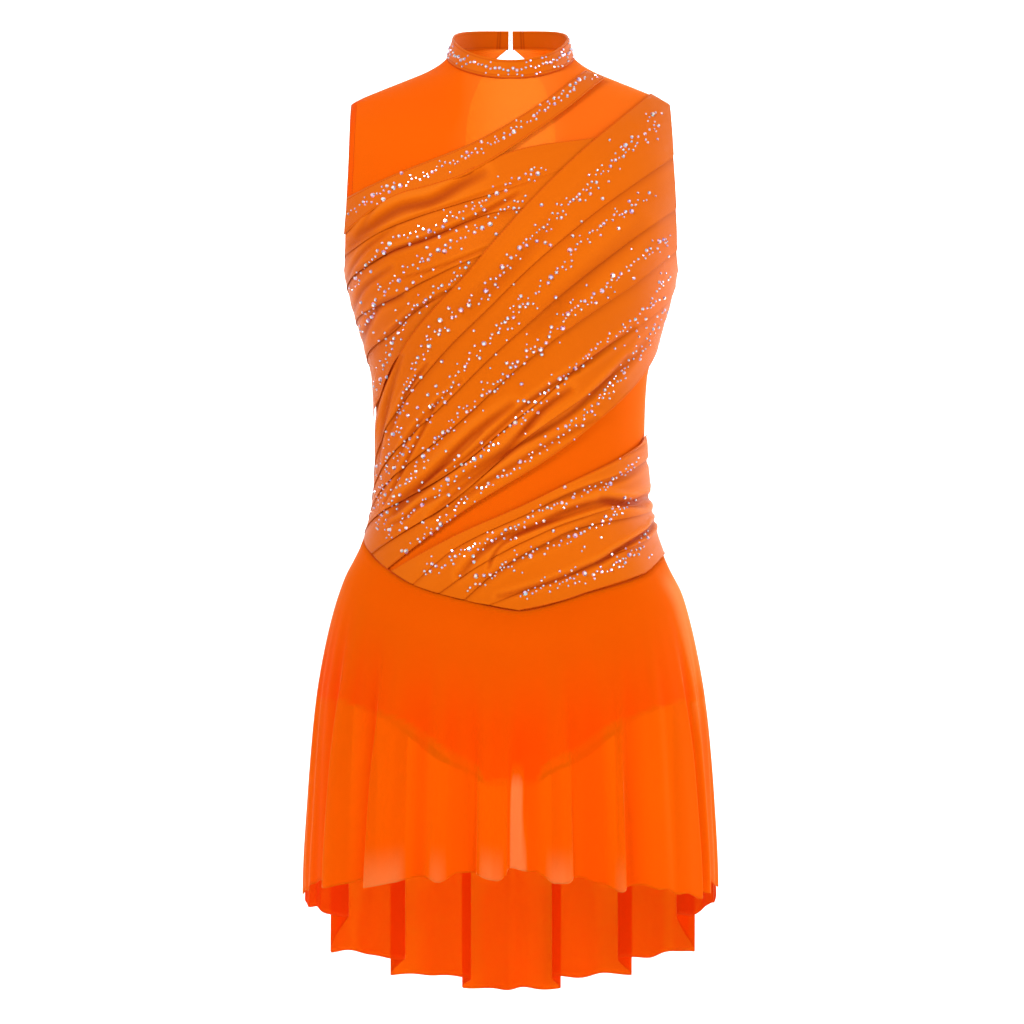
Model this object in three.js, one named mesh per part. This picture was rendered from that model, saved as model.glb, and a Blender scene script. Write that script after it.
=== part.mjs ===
// A sleeveless lyrical dance dress, held in its worn, hollow shape. A sheer mesh bodice with a stand
// collar carries a narrow satin shoulder band and three pleated satin drapes. A high-low skirt and a
// brief are sewn to the dropped waist seam. Millimetres: +Z up, front towards -Y, wearer's left at +X,
// and z = 0 is where the shoulders meet the base of the neck.
import * as THREE from "three";

// Cloth and seams
const MESH_CLOTH = 1.0;
const MESH_IN = 0.8;
const SATIN = 1.3;
const COLLAR_CLOTH = 1.6;
const SKIRT_CLOTH = 1.0;
const SEAM = 0.3;
const LAYER_GAP = 1.1;
const HALF_SEAM = SEAM / 2;
const NECK_SEAM = 1.1;

// The worn form, a ring for each height: half width, depth in front and behind, and how square it is
const FORM = [
  { z: -690, half: 163, front: 0.2, back: 0.2, power: 2.0 },
  { z: -680, half: 163, front: 36, back: 50, power: 2.0 },
  { z: -665, half: 163, front: 57, back: 80, power: 2.1 },
  { z: -640, half: 163, front: 78, back: 101, power: 2.2 },
  { z: -607, half: 163, front: 90, back: 110, power: 2.3 },
  { z: -560, half: 162, front: 97, back: 113, power: 2.3 },
  { z: -520, half: 160, front: 99, back: 109, power: 2.3 },
  { z: -480, half: 150, front: 98, back: 101, power: 2.25 },
  { z: -449, half: 139.5, front: 94, back: 94, power: 2.2 },
  { z: -415, half: 131.5, front: 89, back: 83, power: 2.2 },
  { z: -376, half: 129, front: 86, back: 75, power: 2.2 },
  { z: -338, half: 129.5, front: 86, back: 72, power: 2.2 },
  { z: -300, half: 131.5, front: 91, back: 75, power: 2.2 },
  { z: -261, half: 141, front: 100, back: 82, power: 2.25 },
  { z: -222, half: 152, front: 112, back: 89, power: 2.3 },
  { z: -190, half: 159, front: 116, back: 94, power: 2.3 },
  { z: -160, half: 168, front: 111, back: 97, power: 2.3 },
  { z: -130, half: 171, front: 102, back: 97, power: 2.25 },
  { z: -90, half: 172, front: 90, back: 94, power: 2.1 },
  { z: -60, half: 168, front: 76, back: 90, power: 1.9 },
  { z: -35.5, half: 153, front: 63, back: 82, power: 1.6 },
  { z: -30.7, half: 145, front: 61, back: 79, power: 1.55 },
  { z: -21, half: 122, front: 57, back: 75, power: 1.5 },
  { z: -11.5, half: 98, front: 54, back: 71, power: 1.42 },
  { z: -4, half: 80, front: 54, back: 68, power: 1.32 },
  { z: 3, half: 68, front: 54, back: 65, power: 1.32 },
  { z: 7.7, half: 62.5, front: 54, back: 63, power: 1.5 },
  { z: 10.5, half: 60, front: 54, back: 62, power: 2.0 },
  { z: 45, half: 60, front: 54, back: 62, power: 2.0 },
];

// The armhole's edge, half width at each height, from the shoulder tip to the underarm
const SHOULDER_TIP_Z = -35.5;
const UNDERARM_Z = -196;
const ARMHOLE = [
  { z: -196, half: 158 },
  { z: -190, half: 157.5 },
  { z: -180, half: 157 },
  { z: -165, half: 156.6 },
  { z: -127, half: 155.6 },
  { z: -88, half: 154.2 },
  { z: -50, half: 153.2 },
  { z: -35.5, half: 153 },
];
// How far the drapes' ends stay back from the armhole's edge
const ARMHOLE_TRIM = 2.5;

// The collar band, where it joins the bodice and where it ends above, with a fastening gap behind
const COLLAR = {
  base: { half: 60, front: 54, back: 62, frontZ: -16, sideZ: 9, backZ: 24 },
  top: { half: 54.5, front: 50, back: 57, frontZ: 1, sideZ: 28, backZ: 41 },
};
const FASTENING_GAP = 4;

// The keyhole under the collar behind, half width at each height, closing into the centre back seam
const KEYHOLE = [
  { z: -166, half: HALF_SEAM },
  { z: -164, half: 7 },
  { z: -158, half: 16 },
  { z: -145, half: 27 },
  { z: -115, half: 39 },
  { z: -80, half: 45 },
  { z: -45, half: 43 },
  { z: -10, half: 32 },
  { z: 10, half: 18 },
  { z: 24, half: FASTENING_GAP / 2 },
];
// The rows of the bodice panels as shares of their drop, closest together at the neck, at the underarm
// in front, and where the keyhole rounds into the seam behind
const FRONT_ROWS = [
  0, 0.022, 0.055, 0.092, 0.13, 0.175, 0.22, 0.27, 0.32, 0.36, 0.381, 0.395, 0.43, 0.48, 0.53, 0.59, 0.65,
  0.71, 0.77, 0.83, 0.89, 0.95, 1,
];
const BACK_ROWS = [
  0, 0.02, 0.05, 0.085, 0.125, 0.17, 0.22, 0.27, 0.315, 0.35, 0.375, 0.391, 0.396, 0.43, 0.48, 0.54,
  0.61, 0.68, 0.75, 0.82, 0.88, 0.94, 1,
];

// The dropped waist seam, from the centre back round the wearer's right side, front and left side
const WAIST_SEAM = [
  { x: -143, z: -449 },
  { x: -127, z: -469 },
  { x: -91, z: -491 },
  { x: -41, z: -505 },
  { x: 8, z: -515 },
  { x: 67, z: -500 },
  { x: 120, z: -485 },
  { x: 147, z: -465 },
];
// Behind, the seam runs level near the centre and rises or falls from there to meet the front's
const WAIST_BACK_Z = -456;
const WAIST_BACK_X = 20;
const WAIST_SIDE_X = 142;
const SEAM_STEPS = 8;

// The pleats, each a line of places (x, z) on the form from its gathered end to its far end. Between a
// line and the next the satin swells, by rise at the gathered end and by the share far of it at the other.
const SHOULDER_BAND = {
  rise: 0.4,
  far: 1,
  lines: [
    [[-153, -128], [-109, -109], [-34, -79], [27, -42], [71, -6]],
    [[-156, -164], [-109, -132], [-41, -111], [35, -61], [89, -15]],
  ],
};
const UPPER_DRAPE = {
  rise: 2.6,
  far: 0,
  lines: [
    [[-156, -162], [-113, -130], [-57, -113], [7, -87], [78, -75]],
    [[-159, -184], [-112, -159], [-57, -141], [-2, -124], [58, -101]],
    [[-161, -215], [-115, -182], [-76, -169], [-30, -150], [20, -141]],
    [[-156, -246], [-116, -226], [-80, -208], [-53, -196], [-18, -183]],
    [[-146, -282], [-113, -256], [-89, -236], [-71, -226], [-51, -217]],
    [[-130, -336], [-123, -319], [-116, -300], [-108, -283], [-97, -270]],
  ],
};
const MAIN_DRAPE = {
  rise: 3.4,
  far: 0.3,
  lines: [
    [[-129, -371], [-100, -272], [-41, -203], [44, -109], [133, -28]],
    [[-131, -383], [-98, -291], [-34, -218], [53, -130], [151, -39]],
    [[-133, -395], [-94, -312], [-25, -237], [65, -156], [155, -88]],
    [[-135, -414], [-79, -338], [-11, -271], [81, -193], [158, -136]],
    [[-138, -432], [-67, -355], [9, -285], [88, -227], [160, -173]],
    [[-142, -446], [-67, -393], [12, -330], [89, -267], [160, -209]],
    [[-130, -464], [-58, -416], [17, -351], [90, -297], [152, -235]],
    [[-115, -477], [-44, -423], [31, -376], [95, -326], [142, -267]],
  ],
};
const WAIST_DRAPE = {
  rise: 2.8,
  far: 0.9,
  lines: [
    [[-111, -479], [-53, -446], [7, -419], [73, -387], [128, -351]],
    [[-91, -491], [-48, -455], [12, -426], [73, -397], [128, -372]],
    [[-67, -499], [-30, -473], [17, -448], [68, -428], [130, -397]],
    [[-44, -505], [-13, -477], [26, -454], [73, -435], [134, -422]],
    [[-20, -509], [12, -496], [45, -485], [92, -464], [138, -437]],
    [[8, -514], [45, -506], [77, -496], [115, -485], [147, -466]],
  ],
};

// The skirt's half width and depths at each height
const SKIRT = [
  { z: -917, half: 199, front: 152, back: 170 },
  { z: -780, half: 198, front: 150, back: 163 },
  { z: -700, half: 194, front: 142, back: 155 },
  { z: -640, half: 189.5, front: 132, back: 146 },
  { z: -600, half: 185, front: 124, back: 138 },
  { z: -560, half: 178, front: 115, back: 129 },
  { z: -520, half: 168.5, front: 106, back: 118 },
  { z: -490, half: 158.5, front: 101, back: 108 },
  { z: -449, half: 140.5, front: 95, back: 95 },
];
// The skirt's folds and valleys at the hem, by angle from the front: how far out the cloth lies on
// their near side and their far side, how far the outer layer is drawn back over the inner one, and
// the hem's height on both sides
const FOLDS = [
  { angle: -180, near: -2, far: -2, drawn: 0, nearZ: -918, farZ: -918 },
  { angle: -167, near: 6, far: -6, drawn: 24, nearZ: -918, farZ: -904 },
  { angle: -145.5, near: 9, far: -7, drawn: 26, nearZ: -899, farZ: -880 },
  { angle: -122, near: 9, far: -7, drawn: 26, nearZ: -866, farZ: -829 },
  { angle: -101, near: 1, far: 1, drawn: 0, nearZ: -811, farZ: -811 },
  { angle: -90, near: 0, far: 0, drawn: 0, nearZ: -793, farZ: -793 },
  { angle: -60.5, near: -5, far: 6, drawn: 20, nearZ: -772, farZ: -776 },
  { angle: -41.5, near: -5, far: 6, drawn: 20, nearZ: -764, farZ: -771 },
  { angle: -32, near: 4, far: 4, drawn: 0, nearZ: -764, farZ: -764 },
  { angle: -26, near: -4, far: -4, drawn: 0, nearZ: -757, farZ: -757 },
  { angle: -20, near: 3, far: 3, drawn: 0, nearZ: -762, farZ: -762 },
  { angle: -14, near: -3, far: -3, drawn: 0, nearZ: -753, farZ: -753 },
  { angle: -9, near: -4, far: 4, drawn: 12, nearZ: -752, farZ: -758 },
  { angle: -1, near: 3, far: -4, drawn: 12, nearZ: -758, farZ: -749 },
  { angle: 6, near: -4, far: -4, drawn: 0, nearZ: -751, farZ: -751 },
  { angle: 12, near: 4, far: 4, drawn: 0, nearZ: -761, farZ: -761 },
  { angle: 17, near: 3, far: -4, drawn: 12, nearZ: -762, farZ: -756 },
  { angle: 25, near: -4, far: -4, drawn: 0, nearZ: -765, farZ: -765 },
  { angle: 32.5, near: 3, far: -4, drawn: 12, nearZ: -773, farZ: -768 },
  { angle: 45, near: 3, far: 3, drawn: 0, nearZ: -773, farZ: -773 },
  { angle: 53, near: 2, far: 2, drawn: 0, nearZ: -781, farZ: -781 },
  { angle: 62, near: 6, far: -4, drawn: 20, nearZ: -786, farZ: -781 },
  { angle: 71.5, near: 4, far: -3, drawn: 14, nearZ: -785, farZ: -777 },
  { angle: 90, near: 0, far: 0, drawn: 0, nearZ: -787, farZ: -787 },
  { angle: 101, near: 1, far: 1, drawn: 0, nearZ: -809, farZ: -809 },
  { angle: 120, near: -7, far: 9, drawn: 26, nearZ: -829, farZ: -866 },
  { angle: 145, near: -7, far: 9, drawn: 26, nearZ: -880, farZ: -899 },
  { angle: 166.5, near: -6, far: 6, drawn: 24, nearZ: -904, farZ: -918 },
  { angle: 180, near: -2, far: -2, drawn: 0, nearZ: -918, farZ: -918 },
];
const FOLD_WIDTH = 7;
const COLUMN_GAP = 5;
const HEM_RADIUS = 185;
const SKIRT_LEAVES = 40;
const SKIRT_OFF = 0.5;
const FOLDS_START = 40;
const FOLDS_FULL = 300;

// The brief's leg line in front and behind, from the side to the crotch seam: share of the width
const LEG_FRONT = [
  { share: 0, x: 0, z: -690 },
  { share: 0.2, x: 22, z: -690 },
  { share: 0.32, x: 30, z: -675 },
  { share: 0.5, x: 59, z: -657 },
  { share: 0.68, x: 88, z: -634 },
  { share: 0.86, x: 130, z: -615 },
  { share: 1, x: 163, z: -605 },
];
const LEG_BACK = [
  { share: 0, x: 0, z: -690 },
  { share: 0.2, x: 22, z: -690 },
  { share: 0.32, x: 38, z: -684 },
  { share: 0.5, x: 72, z: -672 },
  { share: 0.68, x: 102, z: -650 },
  { share: 0.86, x: 138, z: -622 },
  { share: 1, x: 163, z: -605 },
];

// The hook and eye that close the collar
const WIRE = 0.7;
const FASTENING_Y = (COLLAR.base.back + COLLAR.top.back) / 2;
const FASTENING_Z = (COLLAR.base.backZ + COLLAR.top.backZ) / 2;
const HOOK = [[-1.2, 0.2, 0], [-0.8, 1.1, 0], [0.4, 1.1, 0], [1.1, 0, 0], [0.4, -1.1, 0], [-0.2, -1.1, 0]];
const EYE = [[1.4, 0, 2.6], [0.2, 0, 2.4], [-0.2, 0, 1.6], [-0.2, 0, -1.6], [0.2, 0, -2.4], [1.4, 0, -2.6]];

const MESH_ORANGE = new THREE.MeshStandardMaterial({ color: 0xfb7a18, roughness: 0.75, metalness: 0 });
const SATIN_ORANGE = new THREE.MeshStandardMaterial({ color: 0xe56f12, roughness: 0.42, metalness: 0 });
const SKIRT_ORANGE = new THREE.MeshStandardMaterial({ color: 0xfa6406, roughness: 0.8, metalness: 0 });
const STEEL = new THREE.MeshStandardMaterial({ color: 0xc9c9cc, roughness: 0.3, metalness: 1 });

const radians = THREE.MathUtils.degToRad;
const clamp = THREE.MathUtils.clamp;
const lerp = THREE.MathUtils.lerp;
const smoothstep = THREE.MathUtils.smoothstep;

// A smooth curve through a table's rows that never swings past them, read by the column "by"
function curve(rows, by, value) {
  const sorted = [...rows].sort((a, b) => a[by] - b[by]);
  const at = sorted.map((row) => row[by]);
  const is = sorted.map((row) => row[value]);
  const slope = is.slice(1).map((end, i) => (end - is[i]) / (at[i + 1] - at[i]));
  const tangent = is.map((_, i) => {
    const before = slope[Math.max(0, i - 1)];
    const after = slope[Math.min(slope.length - 1, i)];
    return before * after <= 0 ? 0 : (2 * before * after) / (before + after);
  });
  return (where) => {
    const t = clamp(where, at[0], at[at.length - 1]);
    let i = 0;
    while (i < slope.length - 1 && t > at[i + 1]) i += 1;
    const step = at[i + 1] - at[i];
    const s = (t - at[i]) / step;
    const near = (1 + 2 * s) * (1 - s) ** 2 * is[i] + s ** 2 * (3 - 2 * s) * is[i + 1];
    return near + step * (s * (1 - s) ** 2 * tangent[i] + s ** 2 * (s - 1) * tangent[i + 1]);
  };
}

const form = {
  half: curve(FORM, "z", "half"),
  front: curve(FORM, "z", "front"),
  back: curve(FORM, "z", "back"),
  power: curve(FORM, "z", "power"),
};
const armhole = curve(ARMHOLE, "z", "half");
const waistFront = curve(WAIST_SEAM, "x", "z");
const keyhole = curve(KEYHOLE, "z", "half");
const skirt = {
  half: curve(SKIRT, "z", "half"),
  front: curve(SKIRT, "z", "front"),
  back: curve(SKIRT, "z", "back"),
};

// How far out the cloth reaches to each side at a height: the armhole's edge, or the side seam
function edgeAt(z) {
  const open = z < SHOULDER_TIP_Z && z > UNDERARM_Z;
  return open ? Math.min(armhole(z), form.half(z)) : form.half(z);
}

// The waist seam's height at a place across the front, or across the back
function waistZ(x, side) {
  if (side < 0) return waistFront(x);
  const atSide = waistFront(Math.sign(x) * WAIST_SIDE_X);
  return lerp(WAIST_BACK_Z, atSide, smoothstep(Math.abs(x), WAIST_BACK_X, WAIST_SIDE_X));
}

// A place on the waist seam at a share of the way from the centre line to the side, and by how much the
// cloth there stops short of the seam (down is negative)
function waistPlace(share, side, short) {
  const across = Math.sin(radians(90 * share));
  let z = WAIST_BACK_Z;
  for (let i = 0; i < SEAM_STEPS; i += 1) z = waistZ(form.half(z) * across, side);
  return { x: form.half(z) * across, z: z + short };
}

// A place on the form at x and z, side -1 in front and 1 behind, and the way out of the form there
function onForm(x, z, side) {
  const half = form.half(z);
  const depth = side < 0 ? form.front(z) : form.back(z);
  const power = form.power(z);
  const across = clamp(Math.abs(x) / half, 0, 1);
  const y = side * depth * (1 - across ** power) ** (1 / power);
  const level = (height) => {
    const p = form.power(height);
    const d = side < 0 ? form.front(height) : form.back(height);
    return (Math.abs(x) / form.half(height)) ** p + (Math.abs(y) / d) ** p;
  };
  const step = 0.5;
  const out = new THREE.Vector3(
    (Math.sign(x) * power * across ** (power - 1)) / half,
    (side * power * (Math.abs(y) / depth) ** (power - 1)) / depth,
    (level(z + step) - level(z - step)) / (2 * step),
  ).normalize();
  return { point: new THREE.Vector3(x, y + side * HALF_SEAM, z), out };
}

// A closed wall of cloth over a grid of places. face(u, v) gives a point on its inner face and one on
// its outer face, for u and v from 0 to 1, and the wall's rim is closed all round.
function wall(name, material, across, down, face) {
  const positions = [];
  const index = [];
  const wide = across.length;
  const last = down.length - 1;
  const end = wide - 1;
  for (const v of down) {
    for (const u of across) {
      const { inner, outer } = face(u, v);
      positions.push(...inner.toArray(), ...outer.toArray());
    }
  }
  const corner = (i, j, outside) => 2 * (j * wide + i) + outside;
  const quad = (a, b, c, d) => index.push(a, b, c, a, c, d);
  for (let j = 0; j < last; j += 1) {
    for (let i = 0; i < end; i += 1) {
      quad(corner(i, j, 1), corner(i, j + 1, 1), corner(i + 1, j + 1, 1), corner(i + 1, j, 1));
      quad(corner(i, j, 0), corner(i + 1, j, 0), corner(i + 1, j + 1, 0), corner(i, j + 1, 0));
    }
  }
  for (let i = 0; i < end; i += 1) {
    quad(corner(i, 0, 0), corner(i, 0, 1), corner(i + 1, 0, 1), corner(i + 1, 0, 0));
    quad(corner(i + 1, last, 0), corner(i + 1, last, 1), corner(i, last, 1), corner(i, last, 0));
  }
  for (let j = 0; j < last; j += 1) {
    quad(corner(0, j + 1, 0), corner(0, j + 1, 1), corner(0, j, 1), corner(0, j, 0));
    quad(corner(end, j, 0), corner(end, j, 1), corner(end, j + 1, 1), corner(end, j + 1, 0));
  }
  return closed(name, material, positions, index);
}

// A named mesh from points and triangles, turned so that its faces point out
function closed(name, material, positions, index) {
  const point = (i) => new THREE.Vector3().fromArray(positions, 3 * i);
  let volume = 0;
  for (let t = 0; t < index.length; t += 3) {
    volume += point(index[t]).dot(point(index[t + 1]).cross(point(index[t + 2])));
  }
  if (volume < 0) index.reverse();
  const geometry = new THREE.BufferGeometry();
  geometry.setAttribute("position", new THREE.Float32BufferAttribute(positions, 3));
  geometry.setIndex(index);
  geometry.computeVertexNormals();
  const mesh = new THREE.Mesh(geometry, material);
  mesh.name = name;
  return mesh;
}

const evenly = (steps) => Array.from({ length: steps + 1 }, (_, i) => i / steps);
const denserAtEnds = (steps) => evenly(steps).map((t) => lerp(t, 0.5 - 0.5 * Math.cos(Math.PI * t), 0.7));
const denserFirst = (steps, bias) => evenly(steps).map((t) => t ** bias);

// The two faces of cloth at a place on the form, so far out from it, each kept on its side of the seams
function faces({ x, z }, side, inner, outer) {
  const { point, out } = onForm(x, z, side);
  const at = (distance) => {
    const moved = point.clone().addScaledVector(out, distance);
    return moved.setY(side * Math.max(side * moved.y, HALF_SEAM));
  };
  return { inner: at(inner), outer: at(outer) };
}

// A collar ring's place at an angle from the front, at a share of the band's height
function collarPlace(angle, share, out) {
  const turn = radians(angle);
  const ahead = Math.cos(turn);
  const ring = (edge) => {
    const depth = ahead > 0 ? edge.front : edge.back;
    const tilt = (edge.backZ - edge.frontZ) / 2;
    const middle = (edge.backZ + edge.frontZ) / 2;
    const lift = (middle - edge.sideZ) * Math.sin(turn) ** 2;
    return new THREE.Vector3(
      (edge.half + out) * Math.sin(turn),
      -(depth + out) * ahead,
      middle - tilt * ahead - lift,
    );
  };
  return ring(COLLAR.base).lerp(ring(COLLAR.top), share);
}

// The height of the bodice's neckline at a place across it, in front or behind
function necklineZ(x, side) {
  const turn = Math.asin(clamp(Math.abs(x) / COLLAR.base.half, 0, 1));
  const angle = side < 0 ? THREE.MathUtils.radToDeg(turn) : 180 - THREE.MathUtils.radToDeg(turn);
  return collarPlace(angle, 0, 0).z - NECK_SEAM;
}

// The shoulder seam's height at a place between the neck and the tip
const HALVINGS = 24;
function shoulderZ(x) {
  let low = SHOULDER_TIP_Z;
  let high = COLLAR.base.sideZ;
  for (let i = 0; i < HALVINGS; i += 1) {
    const middle = (low + high) / 2;
    if (form.half(middle) > x) low = middle;
    else high = middle;
  }
  return low;
}

// A place on a bodice panel: u runs from one side edge to the other or from the centre line to the
// side, and v from the neck and shoulder down to the waist seam
const SHOULDER_TIP = 153;
const SETTLED = 0.3;
const TINY = 1e-4;
function bodicePlace(u, v, side, centre) {
  const sign = Math.sign(u) || 1;
  const share = Math.abs(u);
  const topX = share * SHOULDER_TIP;
  const topZ = topX < COLLAR.base.half ? necklineZ(topX, side) : shoulderZ(topX) - TINY;
  const z = lerp(topZ, waistPlace(u, side, HALF_SEAM).z, v);
  const half = form.half(z);
  const reach = Math.asin(clamp(edgeAt(z) / half, 0, 1));
  const settled = half * Math.sin(share * reach);
  const outer = Math.min(lerp(topX, settled, smoothstep(v, 0, SETTLED)), edgeAt(z));
  const open = centre ? Math.max(centre(z), 0) : 0;
  const x = centre ? lerp(open, edgeAt(z), clamp(outer / edgeAt(z), 0, 1)) : outer;
  return { x: sign * x, z };
}

function frontMesh() {
  const across = evenly(24).map((t) => 2 * t - 1);
  return wall("front_mesh", MESH_ORANGE, across, FRONT_ROWS, (u, v) =>
    faces(bodicePlace(u, v, -1, null), -1, -MESH_IN - MESH_CLOTH, -MESH_IN),
  );
}

function backMesh(name, sign) {
  const centre = (z) => keyhole(z);
  return wall(name, MESH_ORANGE, evenly(12), BACK_ROWS, (u, v) =>
    faces(bodicePlace(sign * Math.max(u, TINY), v, 1, centre), 1, -MESH_IN - MESH_CLOTH, -MESH_IN),
  );
}

function collarBand() {
  const open = THREE.MathUtils.radToDeg(FASTENING_GAP / 2 / COLLAR.base.back);
  const across = evenly(32).map((t) => lerp(open - 180, 180 - open, t));
  return wall("collar_band", SATIN_ORANGE, across, evenly(2), (angle, v) => ({
    inner: collarPlace(angle, v, -COLLAR_CLOTH / 2),
    outer: collarPlace(angle, v, COLLAR_CLOTH / 2),
  }));
}

const GIRTH = 150;

// A place between a drape's lines: along from its gathered end, and down across the lines. Below the
// armholes each line is read as angle round the form and height, so that it bends round the side with
// the form, and near the shoulders it is read as seen from the front.
function drapePlace(lines, along, down) {
  const at = (line) => {
    const points = line.map(([x, z]) => {
      const turn = Math.asin(clamp(x / form.half(z), -1, 1));
      return new THREE.Vector3(GIRTH * turn, x, z);
    });
    return new THREE.CatmullRomCurve3(points, false, "catmullrom").getPoint(along);
  };
  const place = down * (lines.length - 1);
  const first = Math.min(Math.floor(place), lines.length - 2);
  const point = at(lines[first]).lerp(at(lines[first + 1]), place - first);
  const turn = clamp(point.x / GIRTH, -Math.PI / 2, Math.PI / 2);
  const reach = edgeAt(point.z) - ARMHOLE_TRIM * smoothstep(point.z, UNDERARM_Z - 20, UNDERARM_Z + 20);
  const round = form.half(point.z) * Math.sin(turn);
  const x = clamp(lerp(round, point.y, smoothstep(point.z, UNDERARM_Z - 30, UNDERARM_Z + 30)), -reach, reach);
  return { x, z: Math.max(point.z, waistZ(x, -1) + 2 * SEAM) };
}

// A pleated drape laid over what is under it, its pleats deepest where they gather
function drape(name, { rise, far, lines }, along, perPleat, lift) {
  const pleats = lines.length - 1;
  const across = denserAtEnds(along);
  const down = evenly(pleats * perPleat);
  return wall(name, SATIN_ORANGE, across, down, (u, v) => {
    const place = drapePlace(lines, u, v);
    const within = (v * pleats) % 1;
    const swell = Math.sin(Math.PI * within) ** 0.8 * rise * lerp(1, far, smoothstep(u, 0, 0.7));
    const base = lift(u, v);
    return faces(place, -1, base, base + SATIN + swell);
  });
}

// How far the satin lies off the form: on the mesh alone, or at one edge on the upper drape too
const ON_MESH = LAYER_GAP;
const ON_DRAPE = LAYER_GAP + SATIN + 1.4 * LAYER_GAP;
const liftUpper = () => ON_MESH;
const liftBand = (u, v) => lerp(ON_MESH, ON_DRAPE, v);
const liftMain = (u, v) =>
  lerp(ON_DRAPE, ON_MESH, Math.max(smoothstep(v, 0.08, 0.25), smoothstep(u, 0.84, 0.93)));

// How far out, along and down the skirt's cloth lies at an angle round its hem. At a drawn fold it
// steps from the near side's layer to the far side's, and between folds it eases over.
function foldAt(angle) {
  const next = Math.max(1, FOLDS.findIndex((fold) => fold.angle >= angle));
  const [from, to] = [FOLDS[next - 1], FOLDS[next]];
  const start = from.angle + (from.drawn ? FOLD_WIDTH / 2 : 0);
  const end = to.angle - (to.drawn ? FOLD_WIDTH / 2 : 0);
  const read = (near, far) => {
    const turning = (fold, side) => {
      const away = Math.abs(angle - fold.angle) / (FOLD_WIDTH / 2);
      return lerp((fold[near] + fold[far]) / 2, fold[side], Math.sin((Math.PI / 2) * away));
    };
    if (angle < start) return turning(from, far);
    if (angle > end) return turning(to, near);
    return lerp(from[far], to[near], smoothstep(angle, start, end));
  };
  const drawnBack = (fold) => {
    const away = (angle - fold.angle) / FOLD_WIDTH;
    return -fold.drawn * away * Math.exp(0.5 - 2 * away ** 2);
  };
  return { out: read("near", "far"), along: drawnBack(from) + drawnBack(to), hemZ: read("nearZ", "farZ") };
}

// A skirt panel's columns in degrees from its centre line, set close where the cloth turns in a fold
function skirtColumns(side) {
  const turns = [-0.5, -0.17, 0.17, 0.5];
  const angles = FOLDS.flatMap((fold) =>
    fold.drawn ? turns.map((turn) => fold.angle + turn * FOLD_WIDTH) : [fold.angle],
  );
  const mine = side < 0
    ? angles.filter((angle) => Math.abs(angle) <= 90)
    : angles.filter((angle) => Math.abs(angle) >= 90).map((angle) => Math.sign(angle) * 180 - angle);
  const sorted = [...new Set(mine)].sort((a, b) => a - b);
  return sorted.flatMap((angle, i) => {
    const gap = i ? angle - sorted[i - 1] : 0;
    const steps = Math.max(1, Math.ceil(gap / COLUMN_GAP));
    return evenly(steps).slice(1).map((t) => angle - gap * (1 - t));
  });
}

// A skirt panel, from one side seam to the other: it leaves the form at the waist seam and flares
function skirtHalf(name, side) {
  return wall(name, SKIRT_ORANGE, skirtColumns(side), denserFirst(7, 0.9), (sideways, v) => {
    const angle = side < 0 ? sideways : Math.sign(sideways || 1) * 180 - sideways;
    const top = waistPlace(sideways / 90, side, -HALF_SEAM).z;
    const fold = foldAt(angle);
    const z = lerp(top, fold.hemZ, v);
    const fall = top - z;
    const leaves = smoothstep(fall, 0, SKIRT_LEAVES);
    const grown = smoothstep(fall, FOLDS_START, FOLDS_FULL);
    const half = lerp(form.half(z), skirt.half(z), leaves) + fold.out * grown;
    const depth = side < 0 ? skirt.front(z) : skirt.back(z);
    const formDepth = side < 0 ? form.front(z) : form.back(z);
    const deep = lerp(formDepth, depth, leaves) + fold.out * grown;
    const power = lerp(form.power(z), 2, smoothstep(fall, 0, FOLDS_FULL));
    const turn = radians(sideways) - (side * fold.along * grown) / HEM_RADIUS;
    const share = Math.abs(Math.sin(turn));
    const x = Math.sign(turn) * half * share;
    const y = side * deep * Math.max(0, 1 - share ** power) ** (1 / power);
    const out = new THREE.Vector3(x / half ** 2, y / deep ** 2, 0).normalize();
    const flat = new THREE.Vector3(x, y + side * HALF_SEAM, z);
    return {
      inner: flat.clone().addScaledVector(out, SKIRT_OFF),
      outer: flat.clone().addScaledVector(out, SKIRT_OFF + SKIRT_CLOTH),
    };
  });
}

function briefHalf(name, side, legLine) {
  const legX = curve(legLine, "share", "x");
  const legZ = curve(legLine, "share", "z");
  const across = evenly(24).map((t) => 2 * t - 1);
  return wall(name, SKIRT_ORANGE, across, denserFirst(8, 0.9), (u, v) => {
    const sign = Math.sign(u) || 1;
    const share = Math.abs(u);
    const z = lerp(waistPlace(u, side, -HALF_SEAM).z, legZ(share), v);
    const wide = form.half(z) * Math.sin(radians(90 * share));
    const x = lerp(wide, legX(share), v * v);
    return faces({ x: sign * Math.min(x, form.half(z)), z }, side, -MESH_IN - MESH_CLOTH, -MESH_IN);
  });
}

// A bent wire through places around the middle of the collar's fastening
function wire(name, places) {
  const middle = new THREE.Vector3(0, FASTENING_Y, FASTENING_Z);
  const points = places.map((place) => new THREE.Vector3(...place).add(middle));
  const path = new THREE.CatmullRomCurve3(points, false, "centripetal");
  const section = new THREE.Shape().absarc(0, 0, WIRE / 2, 0, 2 * Math.PI);
  const shape = { steps: 12, curveSegments: 6, bevelEnabled: false, extrudePath: path };
  const mesh = new THREE.Mesh(new THREE.ExtrudeGeometry(section, shape), STEEL);
  mesh.name = name;
  return mesh;
}

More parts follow.
